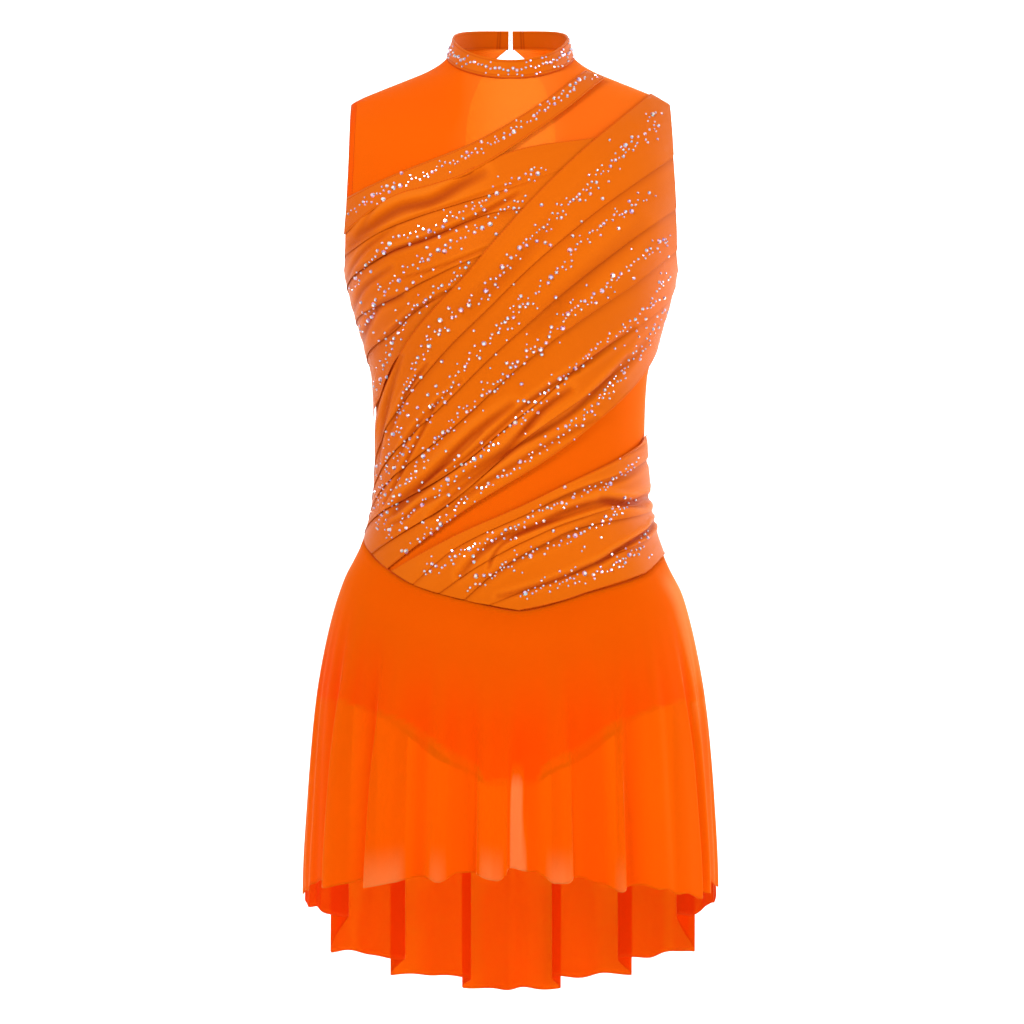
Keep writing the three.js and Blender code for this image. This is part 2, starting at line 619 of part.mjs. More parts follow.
const dress = new THREE.Group();
dress.add(collarBand());
dress.add(frontMesh());
dress.add(backMesh("back_mesh_left", 1));
dress.add(backMesh("back_mesh_right", -1));
dress.add(drape("shoulder_band", SHOULDER_BAND, 20, 2, liftBand));
dress.add(drape("upper_drape", UPPER_DRAPE, 14, 3, liftUpper));
dress.add(drape("main_drape", MAIN_DRAPE, 20, 3, liftMain));
dress.add(drape("waist_drape", WAIST_DRAPE, 16, 3, liftUpper));
dress.add(skirtHalf("skirt_front", -1));
dress.add(skirtHalf("skirt_back", 1));
dress.add(briefHalf("brief_front", -1, LEG_FRONT));
dress.add(briefHalf("brief_back", 1, LEG_BACK));

dress.add(wire("collar_hook", HOOK));
dress.add(wire("collar_eye", EYE));

export default dress;
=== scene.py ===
import math
import random

import bmesh
import bpy
import numpy as np
from mathutils import Matrix, Vector
from mathutils.bvhtree import BVHTree


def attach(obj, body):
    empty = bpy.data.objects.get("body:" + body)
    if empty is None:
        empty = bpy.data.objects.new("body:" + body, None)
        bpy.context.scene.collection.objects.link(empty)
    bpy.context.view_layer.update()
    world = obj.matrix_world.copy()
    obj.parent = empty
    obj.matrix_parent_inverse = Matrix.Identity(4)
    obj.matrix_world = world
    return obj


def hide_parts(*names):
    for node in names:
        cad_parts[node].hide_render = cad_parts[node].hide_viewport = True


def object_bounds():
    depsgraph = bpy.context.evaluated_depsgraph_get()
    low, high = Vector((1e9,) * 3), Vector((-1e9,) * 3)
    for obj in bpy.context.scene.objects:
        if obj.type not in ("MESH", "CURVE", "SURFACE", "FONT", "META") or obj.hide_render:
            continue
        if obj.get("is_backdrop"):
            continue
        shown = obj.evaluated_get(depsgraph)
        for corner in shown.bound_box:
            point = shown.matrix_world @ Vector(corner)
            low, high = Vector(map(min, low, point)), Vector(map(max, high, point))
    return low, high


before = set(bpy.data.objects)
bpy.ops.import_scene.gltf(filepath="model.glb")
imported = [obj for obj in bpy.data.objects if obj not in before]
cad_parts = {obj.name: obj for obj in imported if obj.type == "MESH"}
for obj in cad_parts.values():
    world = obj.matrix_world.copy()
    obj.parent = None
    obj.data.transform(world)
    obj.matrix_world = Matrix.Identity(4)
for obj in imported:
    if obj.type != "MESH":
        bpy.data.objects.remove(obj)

cad_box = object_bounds()
MM = 0.001


# The front of the bodice is one piece of sheer stretch mesh, from the neck to the dropped waist seam.
# It is cut to the wearer's figure, so the figure's rings and the ways to lay cloth on them are here:
# each ring has a height, a half width, a depth in front and behind, and how square it is, in mm.
FORM = [
    (-690, 163, 0.2, 0.2, 2.0), (-680, 163, 36, 50, 2.0), (-665, 163, 57, 80, 2.1),
    (-640, 163, 78, 101, 2.2), (-607, 163, 90, 110, 2.3), (-560, 162, 97, 113, 2.3),
    (-520, 160, 99, 109, 2.3), (-480, 150, 98, 101, 2.25), (-449, 139.5, 94, 94, 2.2),
    (-415, 131.5, 89, 83, 2.2), (-376, 129, 86, 75, 2.2), (-338, 129.5, 86, 72, 2.2),
    (-300, 131.5, 91, 75, 2.2), (-261, 141, 100, 82, 2.25), (-222, 152, 112, 89, 2.3),
    (-190, 159, 116, 94, 2.3), (-160, 168, 111, 97, 2.3), (-130, 171, 102, 97, 2.25),
    (-90, 172, 90, 94, 2.1), (-60, 168, 76, 90, 1.9), (-35.5, 153, 63, 82, 1.6),
    (-30.7, 145, 61, 79, 1.55), (-21, 122, 57, 75, 1.5), (-11.5, 98, 54, 71, 1.42),
    (-4, 80, 54, 68, 1.32), (3, 68, 54, 65, 1.32), (7.7, 62.5, 54, 63, 1.5),
    (10.5, 60, 54, 62, 2.0), (45, 60, 54, 62, 2.0),
]
ARMHOLE = [(-196, 158), (-190, 157.5), (-180, 157), (-165, 156.6), (-127, 155.6), (-88, 154.2),
           (-50, 153.2), (-35.5, 153)]
WAIST_SEAM = [(-143, -449), (-127, -469), (-91, -491), (-41, -505), (8, -515), (67, -500),
              (120, -485), (147, -465)]
SHOULDER_TIP = 153
SHOULDER_TIP_Z = -35.5
UNDERARM_Z = -196
WAIST_BACK_Z = -456
COLLAR_BASE = dict(half=60, front=54, back=62, front_z=-16, side_z=9, back_z=24)
COLLAR_TOP = dict(half=54.5, front=50, back=57, front_z=1, side_z=28, back_z=41)
HALF_SEAM = 0.15
NECK_SEAM = 0.2
MESH_IN = 0.8
MESH_THICK = 0.45


def table(rows, column):
    """A smooth curve through the rows that never swings past them, from the first column to another."""
    rows = sorted(rows)
    at = np.array([row[0] for row in rows], float)
    value = np.array([row[column] for row in rows], float)
    slope = np.diff(value) / np.diff(at)
    before = np.concatenate([slope[:1], slope])
    after = np.concatenate([slope, slope[-1:]])
    steady = before * after > 0
    total = np.where(steady, before + after, 1)
    tangent = np.where(steady, 2 * before * after / total, 0)

    def read(where):
        t = np.clip(where, at[0], at[-1])
        i = np.clip(np.searchsorted(at, t) - 1, 0, len(slope) - 1)
        step = at[i + 1] - at[i]
        s = (t - at[i]) / step
        ends = (1 + 2 * s) * (1 - s) ** 2 * value[i] + s ** 2 * (3 - 2 * s) * value[i + 1]
        turns = s * (1 - s) ** 2 * tangent[i] + s ** 2 * (s - 1) * tangent[i + 1]
        return ends + step * turns

    return read


def ease(x, low, high):
    """0 below low, 1 above high, and smooth between."""
    t = np.clip((np.asarray(x, float) - low) / (high - low), 0, 1)
    return t * t * (3 - 2 * t)


def spell(x, start, full, fade, end):
    """1 between full and fade, 0 before start and after end, and smooth between."""
    return ease(x, start, full) * (1 - ease(x, fade, end))


def mix(a, b, t):
    return a + (b - a) * t


form_half, form_front, form_back, form_power = (table(FORM, column) for column in (1, 2, 3, 4))
armhole_half = table(ARMHOLE, 1)
waist_front = table(WAIST_SEAM, 1)


def edge_at(z):
    """How far out the cloth reaches at a height: the armhole's edge or the side seam."""
    half = form_half(z)
    inside = (z < SHOULDER_TIP_Z) & (z > UNDERARM_Z)
    return np.where(inside, np.minimum(armhole_half(z), half), half)


def waist_z(x, side):
    if side < 0:
        return waist_front(x)
    at_side = waist_front(np.sign(x) * 142)
    return mix(WAIST_BACK_Z, at_side, ease(np.abs(x), 20, 142))


def waist_place(share, side):
    """A place on the waist seam, at a share of the way from the centre line to the side."""
    across = np.sin(np.radians(90 * share))
    z = np.full_like(across, WAIST_BACK_Z)
    for _ in range(8):
        z = waist_z(form_half(z) * across, side)
    return form_half(z) * across, z


def on_form(x, z, side):
    """Points on the figure at x and z, side -1 in front and 1 behind, and the way out there."""
    half, power = form_half(z), form_power(z)
    depth = form_front(z) if side < 0 else form_back(z)
    across = np.clip(np.abs(x) / half, 0, 1)
    y = side * depth * (1 - across ** power) ** (1 / power)

    def level(height):
        p = form_power(height)
        d = form_front(height) if side < 0 else form_back(height)
        return (np.abs(x) / form_half(height)) ** p + (np.abs(y) / d) ** p

    out = np.stack([
        np.sign(x) * power * across ** (power - 1) / half,
        side * power * (np.abs(y) / depth) ** (power - 1) / depth,
        level(z + 0.5) - level(z - 0.5),
    ], axis=-1)
    out /= np.linalg.norm(out, axis=-1, keepdims=True)
    return np.stack([x, y + side * HALF_SEAM, z], axis=-1), out


def off_form(x, z, side, distance):
    """Points so far out from the figure, kept on their side of the shoulder and side seams."""
    point, out = on_form(x, z, side)
    moved = point + out * np.asarray(distance)[..., None]
    moved[..., 1] = side * np.maximum(side * moved[..., 1], HALF_SEAM)
    return moved


def collar_place(angle, share, out=0.0):
    """A place on the collar band, at degrees round from the front and a share of its height."""
    turn = np.radians(angle)
    ahead = np.cos(turn)
    rings = []
    for edge in (COLLAR_BASE, COLLAR_TOP):
        depth = np.where(ahead > 0, edge["front"], edge["back"])
        tilt = (edge["back_z"] - edge["front_z"]) / 2
        middle = (edge["back_z"] + edge["front_z"]) / 2
        lift = (middle - edge["side_z"]) * np.sin(turn) ** 2
        rings.append(np.stack([
            (edge["half"] + out) * np.sin(turn),
            -(depth + out) * ahead,
            middle - tilt * ahead - lift,
        ], axis=-1))
    return mix(rings[0], rings[1], np.asarray(share)[..., None])


def shoulder_z(x):
    """The shoulder seam's height between the neck and the tip."""
    low = np.full_like(x, SHOULDER_TIP_Z)
    high = np.full_like(x, COLLAR_BASE["side_z"])
    for _ in range(24):
        middle = (low + high) / 2
        wide = form_half(middle) > x
        low, high = np.where(wide, middle, low), np.where(wide, high, middle)
    return low


def bodice_place(u, v, side, centre=None):
    """A place on a bodice panel: u is -1 to 1 from side to side, v runs from neck to waist seam."""
    sign = np.where(u < 0, -1.0, 1.0)
    share = np.abs(u)
    top_x = share * SHOULDER_TIP
    turn = np.degrees(np.arcsin(np.clip(top_x / COLLAR_BASE["half"], 0, 1)))
    neck_z = collar_place(turn if side < 0 else 180 - turn, np.zeros_like(u))[..., 2] - NECK_SEAM
    top_z = np.where(top_x < COLLAR_BASE["half"], neck_z, shoulder_z(top_x) - 0.01)
    z = mix(top_z, waist_place(u, side)[1] + HALF_SEAM, v)
    half, edge = form_half(z), edge_at(z)
    settled = half * np.sin(share * np.arcsin(np.clip(edge / half, 0, 1)))
    x = np.minimum(mix(top_x, settled, ease(v, 0, 0.3)), edge)
    if centre is not None:
        x = mix(centre(z), edge, np.clip(x / edge, 0, 1))
    return sign * x, z


def finished(name, bm, material):
    """An object in the scene from a mesh under work, with its material."""
    mesh = bpy.data.meshes.new(name)
    bm.to_mesh(mesh)
    bm.free()
    mesh.materials.append(material)
    piece = bpy.data.objects.new(name, mesh)
    bpy.context.scene.collection.objects.link(piece)
    return piece


def cloth(name, across, down, place, thickness, size, material, fold=None):
    """A sheet over a grid. place(u, v) gives points in mm for u and v from 0 to 1, size is its width
    and height in mm for the weave, and fold(u, v) is how far each point is painted towards the dark tone,
    kept in the attribute fold: painted shade in folds and creases, darker seams and doubled hems, and
    below 0 painted light."""
    bm = bmesh.new()
    bmesh.ops.create_grid(bm, x_segments=across, y_segments=down, size=0.5)
    u = np.array([vert.co.x + 0.5 for vert in bm.verts])
    v = np.array([0.5 - vert.co.y for vert in bm.verts])
    points = place(u, v) * MM
    depth = fold(u, v) if fold else np.zeros_like(u)
    weave = bm.loops.layers.uv.new("weave")
    layer = bm.verts.layers.float.new("fold")
    for vert, point, deep in zip(bm.verts, points, depth):
        vert.co = point
        vert[layer] = deep
    bm.verts.index_update()
    for face in bm.faces:
        face.smooth = True
        for loop in face.loops:
            i = loop.vert.index
            loop[weave].uv = (u[i] * size[0] * MM, v[i] * size[1] * MM)
    bmesh.ops.recalc_face_normals(bm, faces=bm.faces)
    bm.normal_update()
    middle = points.mean(axis=0) * [0, 0, 1]
    facing = sum(face.normal.dot(face.calc_center_median() - Vector(middle)) for face in bm.faces)
    if facing < 0:
        bmesh.ops.reverse_faces(bm, faces=bm.faces)
    piece = finished(name, bm, material)
    wall = piece.modifiers.new("cloth", "SOLIDIFY")
    wall.thickness = thickness * MM
    wall.offset = -1
    return piece


def effect(name, inputs, outputs):
    """A shader node group with named inputs and outputs, and its two end nodes."""
    group = bpy.data.node_groups.new(name, "ShaderNodeTree")
    for label, kind, value in inputs:
        socket = group.interface.new_socket(label, in_out="INPUT", socket_type=kind)
        if value is not None:
            socket.default_value = value
    for label, kind in outputs:
        group.interface.new_socket(label, in_out="OUTPUT", socket_type=kind)
    return group, group.nodes.new("NodeGroupInput"), group.nodes.new("NodeGroupOutput")


def math_node(tree, operation, *values, clamp=False):
    """A math node fed by numbers or sockets."""
    node = tree.nodes.new("ShaderNodeMath")
    node.operation = operation
    node.use_clamp = clamp
    for socket, value in zip(node.inputs, values):
        if isinstance(value, (int, float)):
            socket.default_value = value
        else:
            tree.links.new(value, socket)
    return node.outputs[0]


def add_node(tree, kind, inputs, group=None):
    """A shader node whose inputs take numbers, colours or sockets, by label or by number."""
    node = tree.nodes.new("ShaderNode" + kind)
    if group:
        node.node_tree = group
    for label, value in inputs.items():
        if isinstance(value, bpy.types.NodeSocket):
            tree.links.new(value, node.inputs[label])
        else:
            node.inputs[label].default_value = value
    return node


def ribs_along(tree, where, turns):
    """Even ribs across one direction, 0 between them and 1 on them."""
    return math_node(tree, "ABSOLUTE", math_node(tree, "SINE", math_node(tree, "MULTIPLY", where, turns)))


def net_effect():
    """Two sets of slanting threads that cross, as in a fine stretch net: the share of a place that is
    thread, and how high the thread stands."""
    group, start, end = effect(
        "fine_net",
        [("Place", "NodeSocketVector", None), ("Threads per metre", "NodeSocketFloat", 900.0)],
        [("Thread", "NodeSocketFloat")],
    )
    split = add_node(group, "SeparateXYZ", {0: start.outputs["Place"]})
    turns = math_node(group, "MULTIPLY", start.outputs["Threads per metre"], math.pi)
    rising = math_node(group, "ADD", split.outputs[0], split.outputs[1])
    falling = math_node(group, "SUBTRACT", split.outputs[0], split.outputs[1])
    most = math_node(
        group, "MAXIMUM", ribs_along(group, rising, turns), ribs_along(group, falling, turns))
    group.links.new(math_node(group, "POWER", most, 3.0), end.inputs["Thread"])
    return group


def knit_effect():
    """The rows and ribs of a fine knit, as a height from 0 to 1."""
    group, start, end = effect(
        "fine_knit",
        [("Place", "NodeSocketVector", None), ("Ribs per metre", "NodeSocketFloat", 1500.0)],
        [("Height", "NodeSocketFloat")],
    )
    split = add_node(group, "SeparateXYZ", {0: start.outputs["Place"]})
    turns = math_node(group, "MULTIPLY", start.outputs["Ribs per metre"], math.pi)
    ribs = ribs_along(group, split.outputs[0], turns)
    rows = math_node(group, "POWER", ribs_along(group, split.outputs[1], turns), 0.5)
    group.links.new(math_node(group, "MULTIPLY", ribs, rows), end.inputs["Height"])
    return group


FINE_NET = net_effect()
FINE_KNIT = knit_effect()


def new_finish(name, looks):
    """A material with its tree and its shader, whose inputs take the values in looks."""
    material = bpy.data.materials.new(name)
    material.use_nodes = True
    shader = material.node_tree.nodes["Principled BSDF"]
    for label, value in looks.items():
        shader.inputs[label].default_value = value
    return material, material.node_tree, shader


def weave_place(tree):
    place = tree.nodes.new("ShaderNodeUVMap")
    place.uv_map = "weave"
    return place.outputs["UV"]


def tone(tree, start, end, share):
    """A colour between two, by a share from 0 to 1. Each colour is three numbers or a socket."""
    blend = tree.nodes.new("ShaderNodeMix")
    blend.data_type = "RGBA"
    for label, colour in (("A", start), ("B", end)):
        if isinstance(colour, tuple):
            blend.inputs[label].default_value = (*colour, 1)
        else:
            tree.links.new(colour, blend.inputs[label])
    tree.links.new(share, blend.inputs["Factor"])
    return blend.outputs["Result"]


def fold_tone(tree, colours, uneven):
    """The cloth's colour from its pale, plain and dark tones: dark down in folds as painted shade, and on
    doubled hems and seam lines, pale as painted light on ridges and where light comes through, and uneven
    in between. Also how far towards the dark tone a place lies."""
    pale, plain, dark = colours
    fold = tree.nodes.new("ShaderNodeAttribute")
    fold.attribute_name = "fold"
    down = math_node(tree, "ADD", uneven, fold.outputs["Fac"], clamp=True)
    up = math_node(tree, "MULTIPLY", fold.outputs["Fac"], -1.0, clamp=True)
    return tone(tree, tone(tree, plain, dark, down), pale, up), down


def cloudy(tree, scale, detail=3.0):
    """Soft uneven patches over the cloth, from its own place in the object."""
    where = tree.nodes.new("ShaderNodeTexCoord").outputs["Object"]
    noise = add_node(tree, "TexNoise", {"Scale": scale, "Detail": detail, "Vector": where})
    return noise.outputs["Fac"]


def bump(tree, shader, height, strength, distance):
    node = add_node(tree, "Bump", {"Strength": strength, "Distance": distance, "Height": height})
    tree.links.new(node.outputs["Normal"], shader.inputs["Normal"])


def net_material(name, colours, passed, threads, cover, between):
    """Sheer dyed net: its threads cover as much as cover and the gaps between them as between, and
    the light that comes through takes the colour passed."""
    material, tree, shader = new_finish(name, {
        "Roughness": 0.75, "Specular IOR Level": 0.06, "Specular Tint": (1.0, 0.5, 0.1, 1),
        "Sheen Weight": 0.7, "Sheen Roughness": 0.22, "Sheen Tint": (1.0, 0.55, 0.22, 1),
    })
    weave = {"Threads per metre": threads, "Place": weave_place(tree)}
    thread = add_node(tree, "Group", weave, FINE_NET).outputs["Thread"]
    uneven = math_node(tree, "MULTIPLY", cloudy(tree, 9.0), 0.25)
    colour, down = fold_tone(tree, colours, uneven)
    tree.links.new(colour, shader.inputs["Base Color"])
    bump(tree, shader, thread, 0.25, 0.0002)
    facing = add_node(tree, "LayerWeight", {"Blend": 0.35})
    turned = math_node(tree, "MULTIPLY", facing.outputs["Facing"], 0.35)
    closer = math_node(tree, "ADD", turned, math_node(tree, "MULTIPLY", down, 0.3))
    spread = math_node(tree, "ADD", math_node(tree, "MULTIPLY", thread, cover - between), between)
    through = add_node(tree, "BsdfTransparent", {"Color": (*passed, 1)})
    share = math_node(tree, "ADD", spread, closer, clamp=True)
    blend = add_node(tree, "MixShader", {0: share, 1: through.outputs[0], 2: shader.outputs[0]})
    tree.links.new(blend.outputs[0], tree.nodes["Material Output"].inputs["Surface"])
    return material


# The mesh's pale tone is painted light, and its dark tone the doubled net and the deeper shoulder
MESH_TONES = ((1.0, 0.30, 0.040), (0.97, 0.150, 0.002), (0.88, 0.080, 0.001))
MESH_PASSED = (1.0, 0.50, 0.10)
power_mesh = net_material("power_mesh", MESH_TONES, MESH_PASSED, 850.0, 0.76, 0.54)


NECK_CROWDING = 1.25
ARMHOLE_HEM = 6
HEM_TONE = 0.7


def front_place(u, v):
    x, z = bodice_place(2 * u - 1, v ** NECK_CROWDING, -1)
    return off_form(x, z, -1, np.full_like(x, -MESH_IN))


def armhole_hem(x, z):
    """The tone of the turned edge round the armhole, where the net is double."""
    beside = (z < SHOULDER_TIP_Z + 4) & (z > UNDERARM_Z - 4)
    return HEM_TONE * beside * ease(np.abs(x), edge_at(z) - ARMHOLE_HEM - 1, edge_at(z) - ARMHOLE_HEM)


def front_tone(u, v):
    """The mesh is deeper at the shoulder, and deepest at the armholes' turned edges, where the cloth is
    double. Over the chest it is painted paler, most in the middle and towards the right: painted light,
    where light comes through the keyhole behind."""
    x, z = bodice_place(2 * u - 1, v ** NECK_CROWDING, -1)
    # Painted light over the chest, where light comes through the keyhole behind
    chest = 0.20 * ease(x, -75, 20) + 0.30 * spell(x, -60, 0, 20, 60)
    shoulder = 0.28 * ease(z, -75, -35) * (1 - ease(x, -75, -35))
    return armhole_hem(x, z) + shoulder - chest * ease(z, -250, -110)


front_mesh = cloth("front_bodice", 130, 110, front_place, MESH_THICK, (400, 500), power_mesh, front_tone)
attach(front_mesh, "root")
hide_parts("front_mesh")


# The back of the bodice is two pieces of the same mesh, joined by a centre back seam. Above the seam
# they part into a keyhole, and they meet again only at the collar's fastening.
KEYHOLE = [(-166, 0.15), (-164, 7), (-158, 16), (-145, 27), (-115, 39), (-80, 45), (-45, 43),
           (-10, 32), (10, 18), (24, 2.5)]
keyhole_half = table(KEYHOLE, 1)
KEYHOLE_SHARE = 0.396


def back_rows(v):
    """Rows that crowd together where the keyhole rounds into the seam."""
    return np.where(v < 0.5, KEYHOLE_SHARE * (1 - (1 - 2 * v) ** 1.5),
                    KEYHOLE_SHARE + (1 - KEYHOLE_SHARE) * np.maximum(2 * v - 1, 0) ** 1.3)


for hand, sign in (("left", 1), ("right", -1)):
    def back_place(u, v):
        x, z = bodice_place(sign * np.maximum(u, 1e-6), back_rows(v), 1, keyhole_half)
        return off_form(x, z, 1, np.full_like(x, -MESH_IN))

    def back_tone(u, v):
        x, z = bodice_place(sign * np.maximum(u, 1e-6), back_rows(v), 1, keyhole_half)
        # Beside the keyhole's edge the mesh is painted paler: painted light that softens the edge of the
        # light coming through the keyhole
        near = 1 - ease(np.abs(x) - keyhole_half(z), 3, 26)
        return armhole_hem(x, z) - 0.5 * near * ease(z, -180, -150)

    back = cloth(f"back_bodice_{hand}", 60, 120, back_place, MESH_THICK, (200, 480), power_mesh, back_tone)
    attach(back, "root")
    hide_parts(f"back_mesh_{hand}")


# The collar is a doubled band of satin knit that stands round the neck. It is open behind, where its
# two ends are turned in and stitched, with a hook and eye across the gap.
COLLAR_THICK = 1.6
COLLAR_LONG, COLLAR_TALL = 370, 18
FASTENING_GAP = 4
# The satin's pale tone is a painted highlight and its dark tone painted shade, also used for the collar's
# darker seam lines
SATIN_TONES = ((0.88, 0.220, 0.012), (0.76, 0.136, 0.002), (0.38, 0.031, 0.001))


def satin_material(name, colours, roughness):
    """Satin spandex: a fine knit with a soft sheen, drawn into faint lines along its folds, with painted
    shade down in the folds and a painted highlight on the ridges beside them."""
    material, tree, shader = new_finish(name, {
        "Roughness": roughness, "Specular IOR Level": 0.32, "Specular Tint": (1.0, 0.42, 0.05, 1),
        "Sheen Weight": 0.10, "Sheen Roughness": 0.4, "Sheen Tint": (1.0, 0.45, 0.10, 1),
    })
    place = weave_place(tree)
    knit = add_node(tree, "Group", {"Ribs per metre": 1400.0, "Place": place}, FINE_KNIT)
    stretch = add_node(tree, "Mapping", {"Scale": (9.0, 150.0, 1.0), "Vector": place})
    lines = add_node(
        tree, "TexNoise", {"Scale": 1.0, "Detail": 2.0, "Vector": stretch.outputs["Vector"]})
    patches = cloudy(tree, 16.0)
    uneven = math_node(tree, "MULTIPLY", math_node(tree, "ADD", patches, lines.outputs["Fac"]), 0.10)
    tree.links.new(fold_tone(tree, colours, uneven)[0], shader.inputs["Base Color"])
    tree.links.new(math_node(tree, "ADD", uneven, roughness - 0.10), shader.inputs["Roughness"])
    drawn = math_node(tree, "MULTIPLY", lines.outputs["Fac"], 3.0)
    bump(tree, shader, math_node(tree, "ADD", drawn, knit.outputs["Height"]), 0.30, 0.0003)
    return material


satin = satin_material("satin_spandex", SATIN_TONES, 0.45)
open_angle = math.degrees(FASTENING_GAP / 2 / COLLAR_BASE["back"])


def collar_face(u, v):
    return collar_place(mix(open_angle - 180, 180 - open_angle, u), 1 - v, COLLAR_THICK / 2)


def collar_turnings(u, v):
    """Deeper lines where the ends are turned in and stitched down, and along both edges."""
    from_end = np.minimum(u, 1 - u) * COLLAR_LONG
    ends = np.exp(-((from_end - 9) / 0.9) ** 2) + np.exp(-((from_end - 11.5) / 0.7) ** 2)
    edges = np.exp(-((np.minimum(v, 1 - v) * COLLAR_TALL - 2.2) / 0.5) ** 2)
    return np.clip(0.5 * ends + 0.25 * edges, 0, 0.6)


collar = cloth(
    "collar", 560, 24, collar_face, COLLAR_THICK, (COLLAR_LONG, COLLAR_TALL), satin, collar_turnings)
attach(collar, "root")
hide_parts("collar_band")


# The narrow shoulder band is a folded strip of satin, from the wearer's right armhole over the chest
# to the left side of the neck. The satin pleats below are laid by the same way of drawing lines on
# the figure, each from its gathered end to its far end, as seen from the front, x and z in mm.
SATIN_THICK = 0.5
ON_MESH = 0.3
CLOTH_LAYER = 0.7
ON_DRAPE = ON_MESH + CLOTH_LAYER + 1.6
ARMHOLE_TRIM = 2.5
GIRTH = 150
BAND = [
    [(-153, -128), (-109, -109), (-34, -79), (27, -42), (71, -6)],
    [(-156, -164), (-109, -132), (-41, -111), (35, -61), (89, -15)],
]


def smooth_path(knots, where):
    """Places on a smooth curve through the knots, read by steps counted from the first knot."""
    ghost = np.vstack([2 * knots[0] - knots[1], knots, 2 * knots[-1] - knots[-2]])
    i = np.minimum(where.astype(int), len(knots) - 2)
    t = (where - i)[:, None]
    a, b, c, d = (ghost[i + k] for k in range(4))
    bend = (2 * a - 5 * b + 4 * c - d) * t ** 2
    twist = (3 * b - a - 3 * c + d) * t ** 3
    return 0.5 * (2 * b + (c - a) * t + bend + twist)


def along_line(line, u):
    """Angle round the figure, x and z along a smooth line through places given by x and z."""
    x, z = np.array(line, float).T
    turn = GIRTH * np.arcsin(np.clip(x / form_half(z), -1, 1))
    return smooth_path(np.stack([turn, x, z], axis=-1), np.clip(u, 0, 1) * (len(line) - 1))


def drape_place(lines, u, v):
    """x and z at a place between a drape's lines: u along them, v down across them."""
    where = np.clip(v, 0, 1) * (len(lines) - 1)
    first = np.minimum(where.astype(int), len(lines) - 2)
    lanes = np.stack([along_line(line, u) for line in lines])
    pick = np.arange(len(u))
    spot = mix(lanes[first, pick], lanes[first + 1, pick], (where - first)[:, None])
    z = spot[:, 2]
    turned = form_half(z) * np.sin(np.clip(spot[:, 0] / GIRTH, -math.pi / 2, math.pi / 2))
    x = mix(turned, spot[:, 1], ease(z, UNDERARM_Z - 30, UNDERARM_Z + 30))
    reach = edge_at(z) - ARMHOLE_TRIM * ease(z, UNDERARM_Z - 20, UNDERARM_Z + 20)
    x = np.clip(x, -reach, reach)
    return x, np.maximum(z, waist_z(x, -1) + 0.6)


def ends_closer(u):
    """Columns that crowd together at both ends, where the cloth turns round the side."""
    return mix(u, 0.5 - 0.5 * np.cos(np.pi * u), 0.7)


def band_height(u, v):
    edges = ease(np.abs(2 * v - 1), 0.86, 1.0)
    return mix(ON_MESH, ON_DRAPE, v) + CLOTH_LAYER * (1 - 0.5 * edges)


def band_place(u, v):
    x, z = drape_place(BAND, ends_closer(u), v)
    return off_form(x, z, -1, band_height(u, v))


shoulder_band = cloth("shoulder_strap", 150, 20, band_place, 1.0, (290, 26), satin)
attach(shoulder_band, "root")
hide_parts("shoulder_band")


# The pleated drapes are satin laid in tucks over the mesh. Each tuck's folded edge lies over the next,
# and towards the side where they are caught in the seam the tucks gather into deeper, uneven creases.
UPPER = [
    [(-156, -162), (-113, -130), (-57, -113), (7, -87), (78, -75)],
    [(-159, -184), (-112, -159), (-57, -141), (-2, -124), (58, -101)],
    [(-161, -215), (-115, -182), (-76, -169), (-30, -150), (20, -141)],
    [(-156, -246), (-116, -226), (-80, -208), (-53, -196), (-18, -183)],
    [(-146, -282), (-113, -256), (-89, -236), (-71, -226), (-51, -217)],
    [(-130, -336), (-123, -319), (-116, -300), (-108, -283), (-97, -270)],
]
MAIN = [
    [(-129, -371), (-100, -272), (-41, -203), (44, -109), (133, -28)],
    [(-131, -383), (-98, -291), (-34, -218), (53, -130), (151, -39)],
    [(-133, -395), (-94, -312), (-25, -237), (65, -156), (155, -88)],
    [(-135, -414), (-79, -338), (-11, -271), (81, -193), (158, -136)],
    [(-138, -432), (-67, -355), (9, -285), (88, -227), (160, -173)],
    [(-142, -446), (-67, -393), (12, -330), (89, -267), (160, -209)],
    [(-130, -464), (-58, -416), (17, -351), (90, -297), (152, -235)],
    [(-115, -477), (-44, -423), (31, -376), (95, -326), (142, -267)],
]
WAIST = [
    [(-111, -479), (-53, -446), (7, -419), (73, -387), (128, -351)],
    [(-91, -491), (-48, -455), (12, -426), (73, -397), (128, -372)],
    [(-67, -499), (-30, -473), (17, -448), (68, -428), (130, -397)],
    [(-44, -505), (-13, -477), (26, -454), (73, -435), (134, -422)],
    [(-20, -509), (12, -496), (45, -485), (92, -464), (138, -437)],
    [(8, -514), (45, -506), (77, -496), (115, -485), (147, -466)],
]
# Each tuck's depth in mm at its gathered end, its middle and its far end, a row for each folded edge
UPPER_TUCKS = [(0, 0, 0), (1.2, 1.0, 0.2), (2.0, 1.7, 0.5), (1.5, 1.4, 0.3), (1.4, 1.1, 0.3),
               (0.8, 0.8, 0.3)]
MAIN_TUCKS = [(0, 0, 0), (0, 0, 0), (1.3, 0.9, 0.7), (1.6, 1.1, 0.8), (1.8, 1.3, 0.8), (2.2, 2.0, 0.9),
              (2.0, 1.9, 0.4), (0.8, 0.6, 0.3)]
WAIST_TUCKS = [(0, 0, 0), (0.7, 1.1, 1.5), (1.0, 1.4, 2.2), (1.0, 1.3, 1.4), (0.8, 1.2, 1.8),
               (0.4, 0.4, 0.8)]
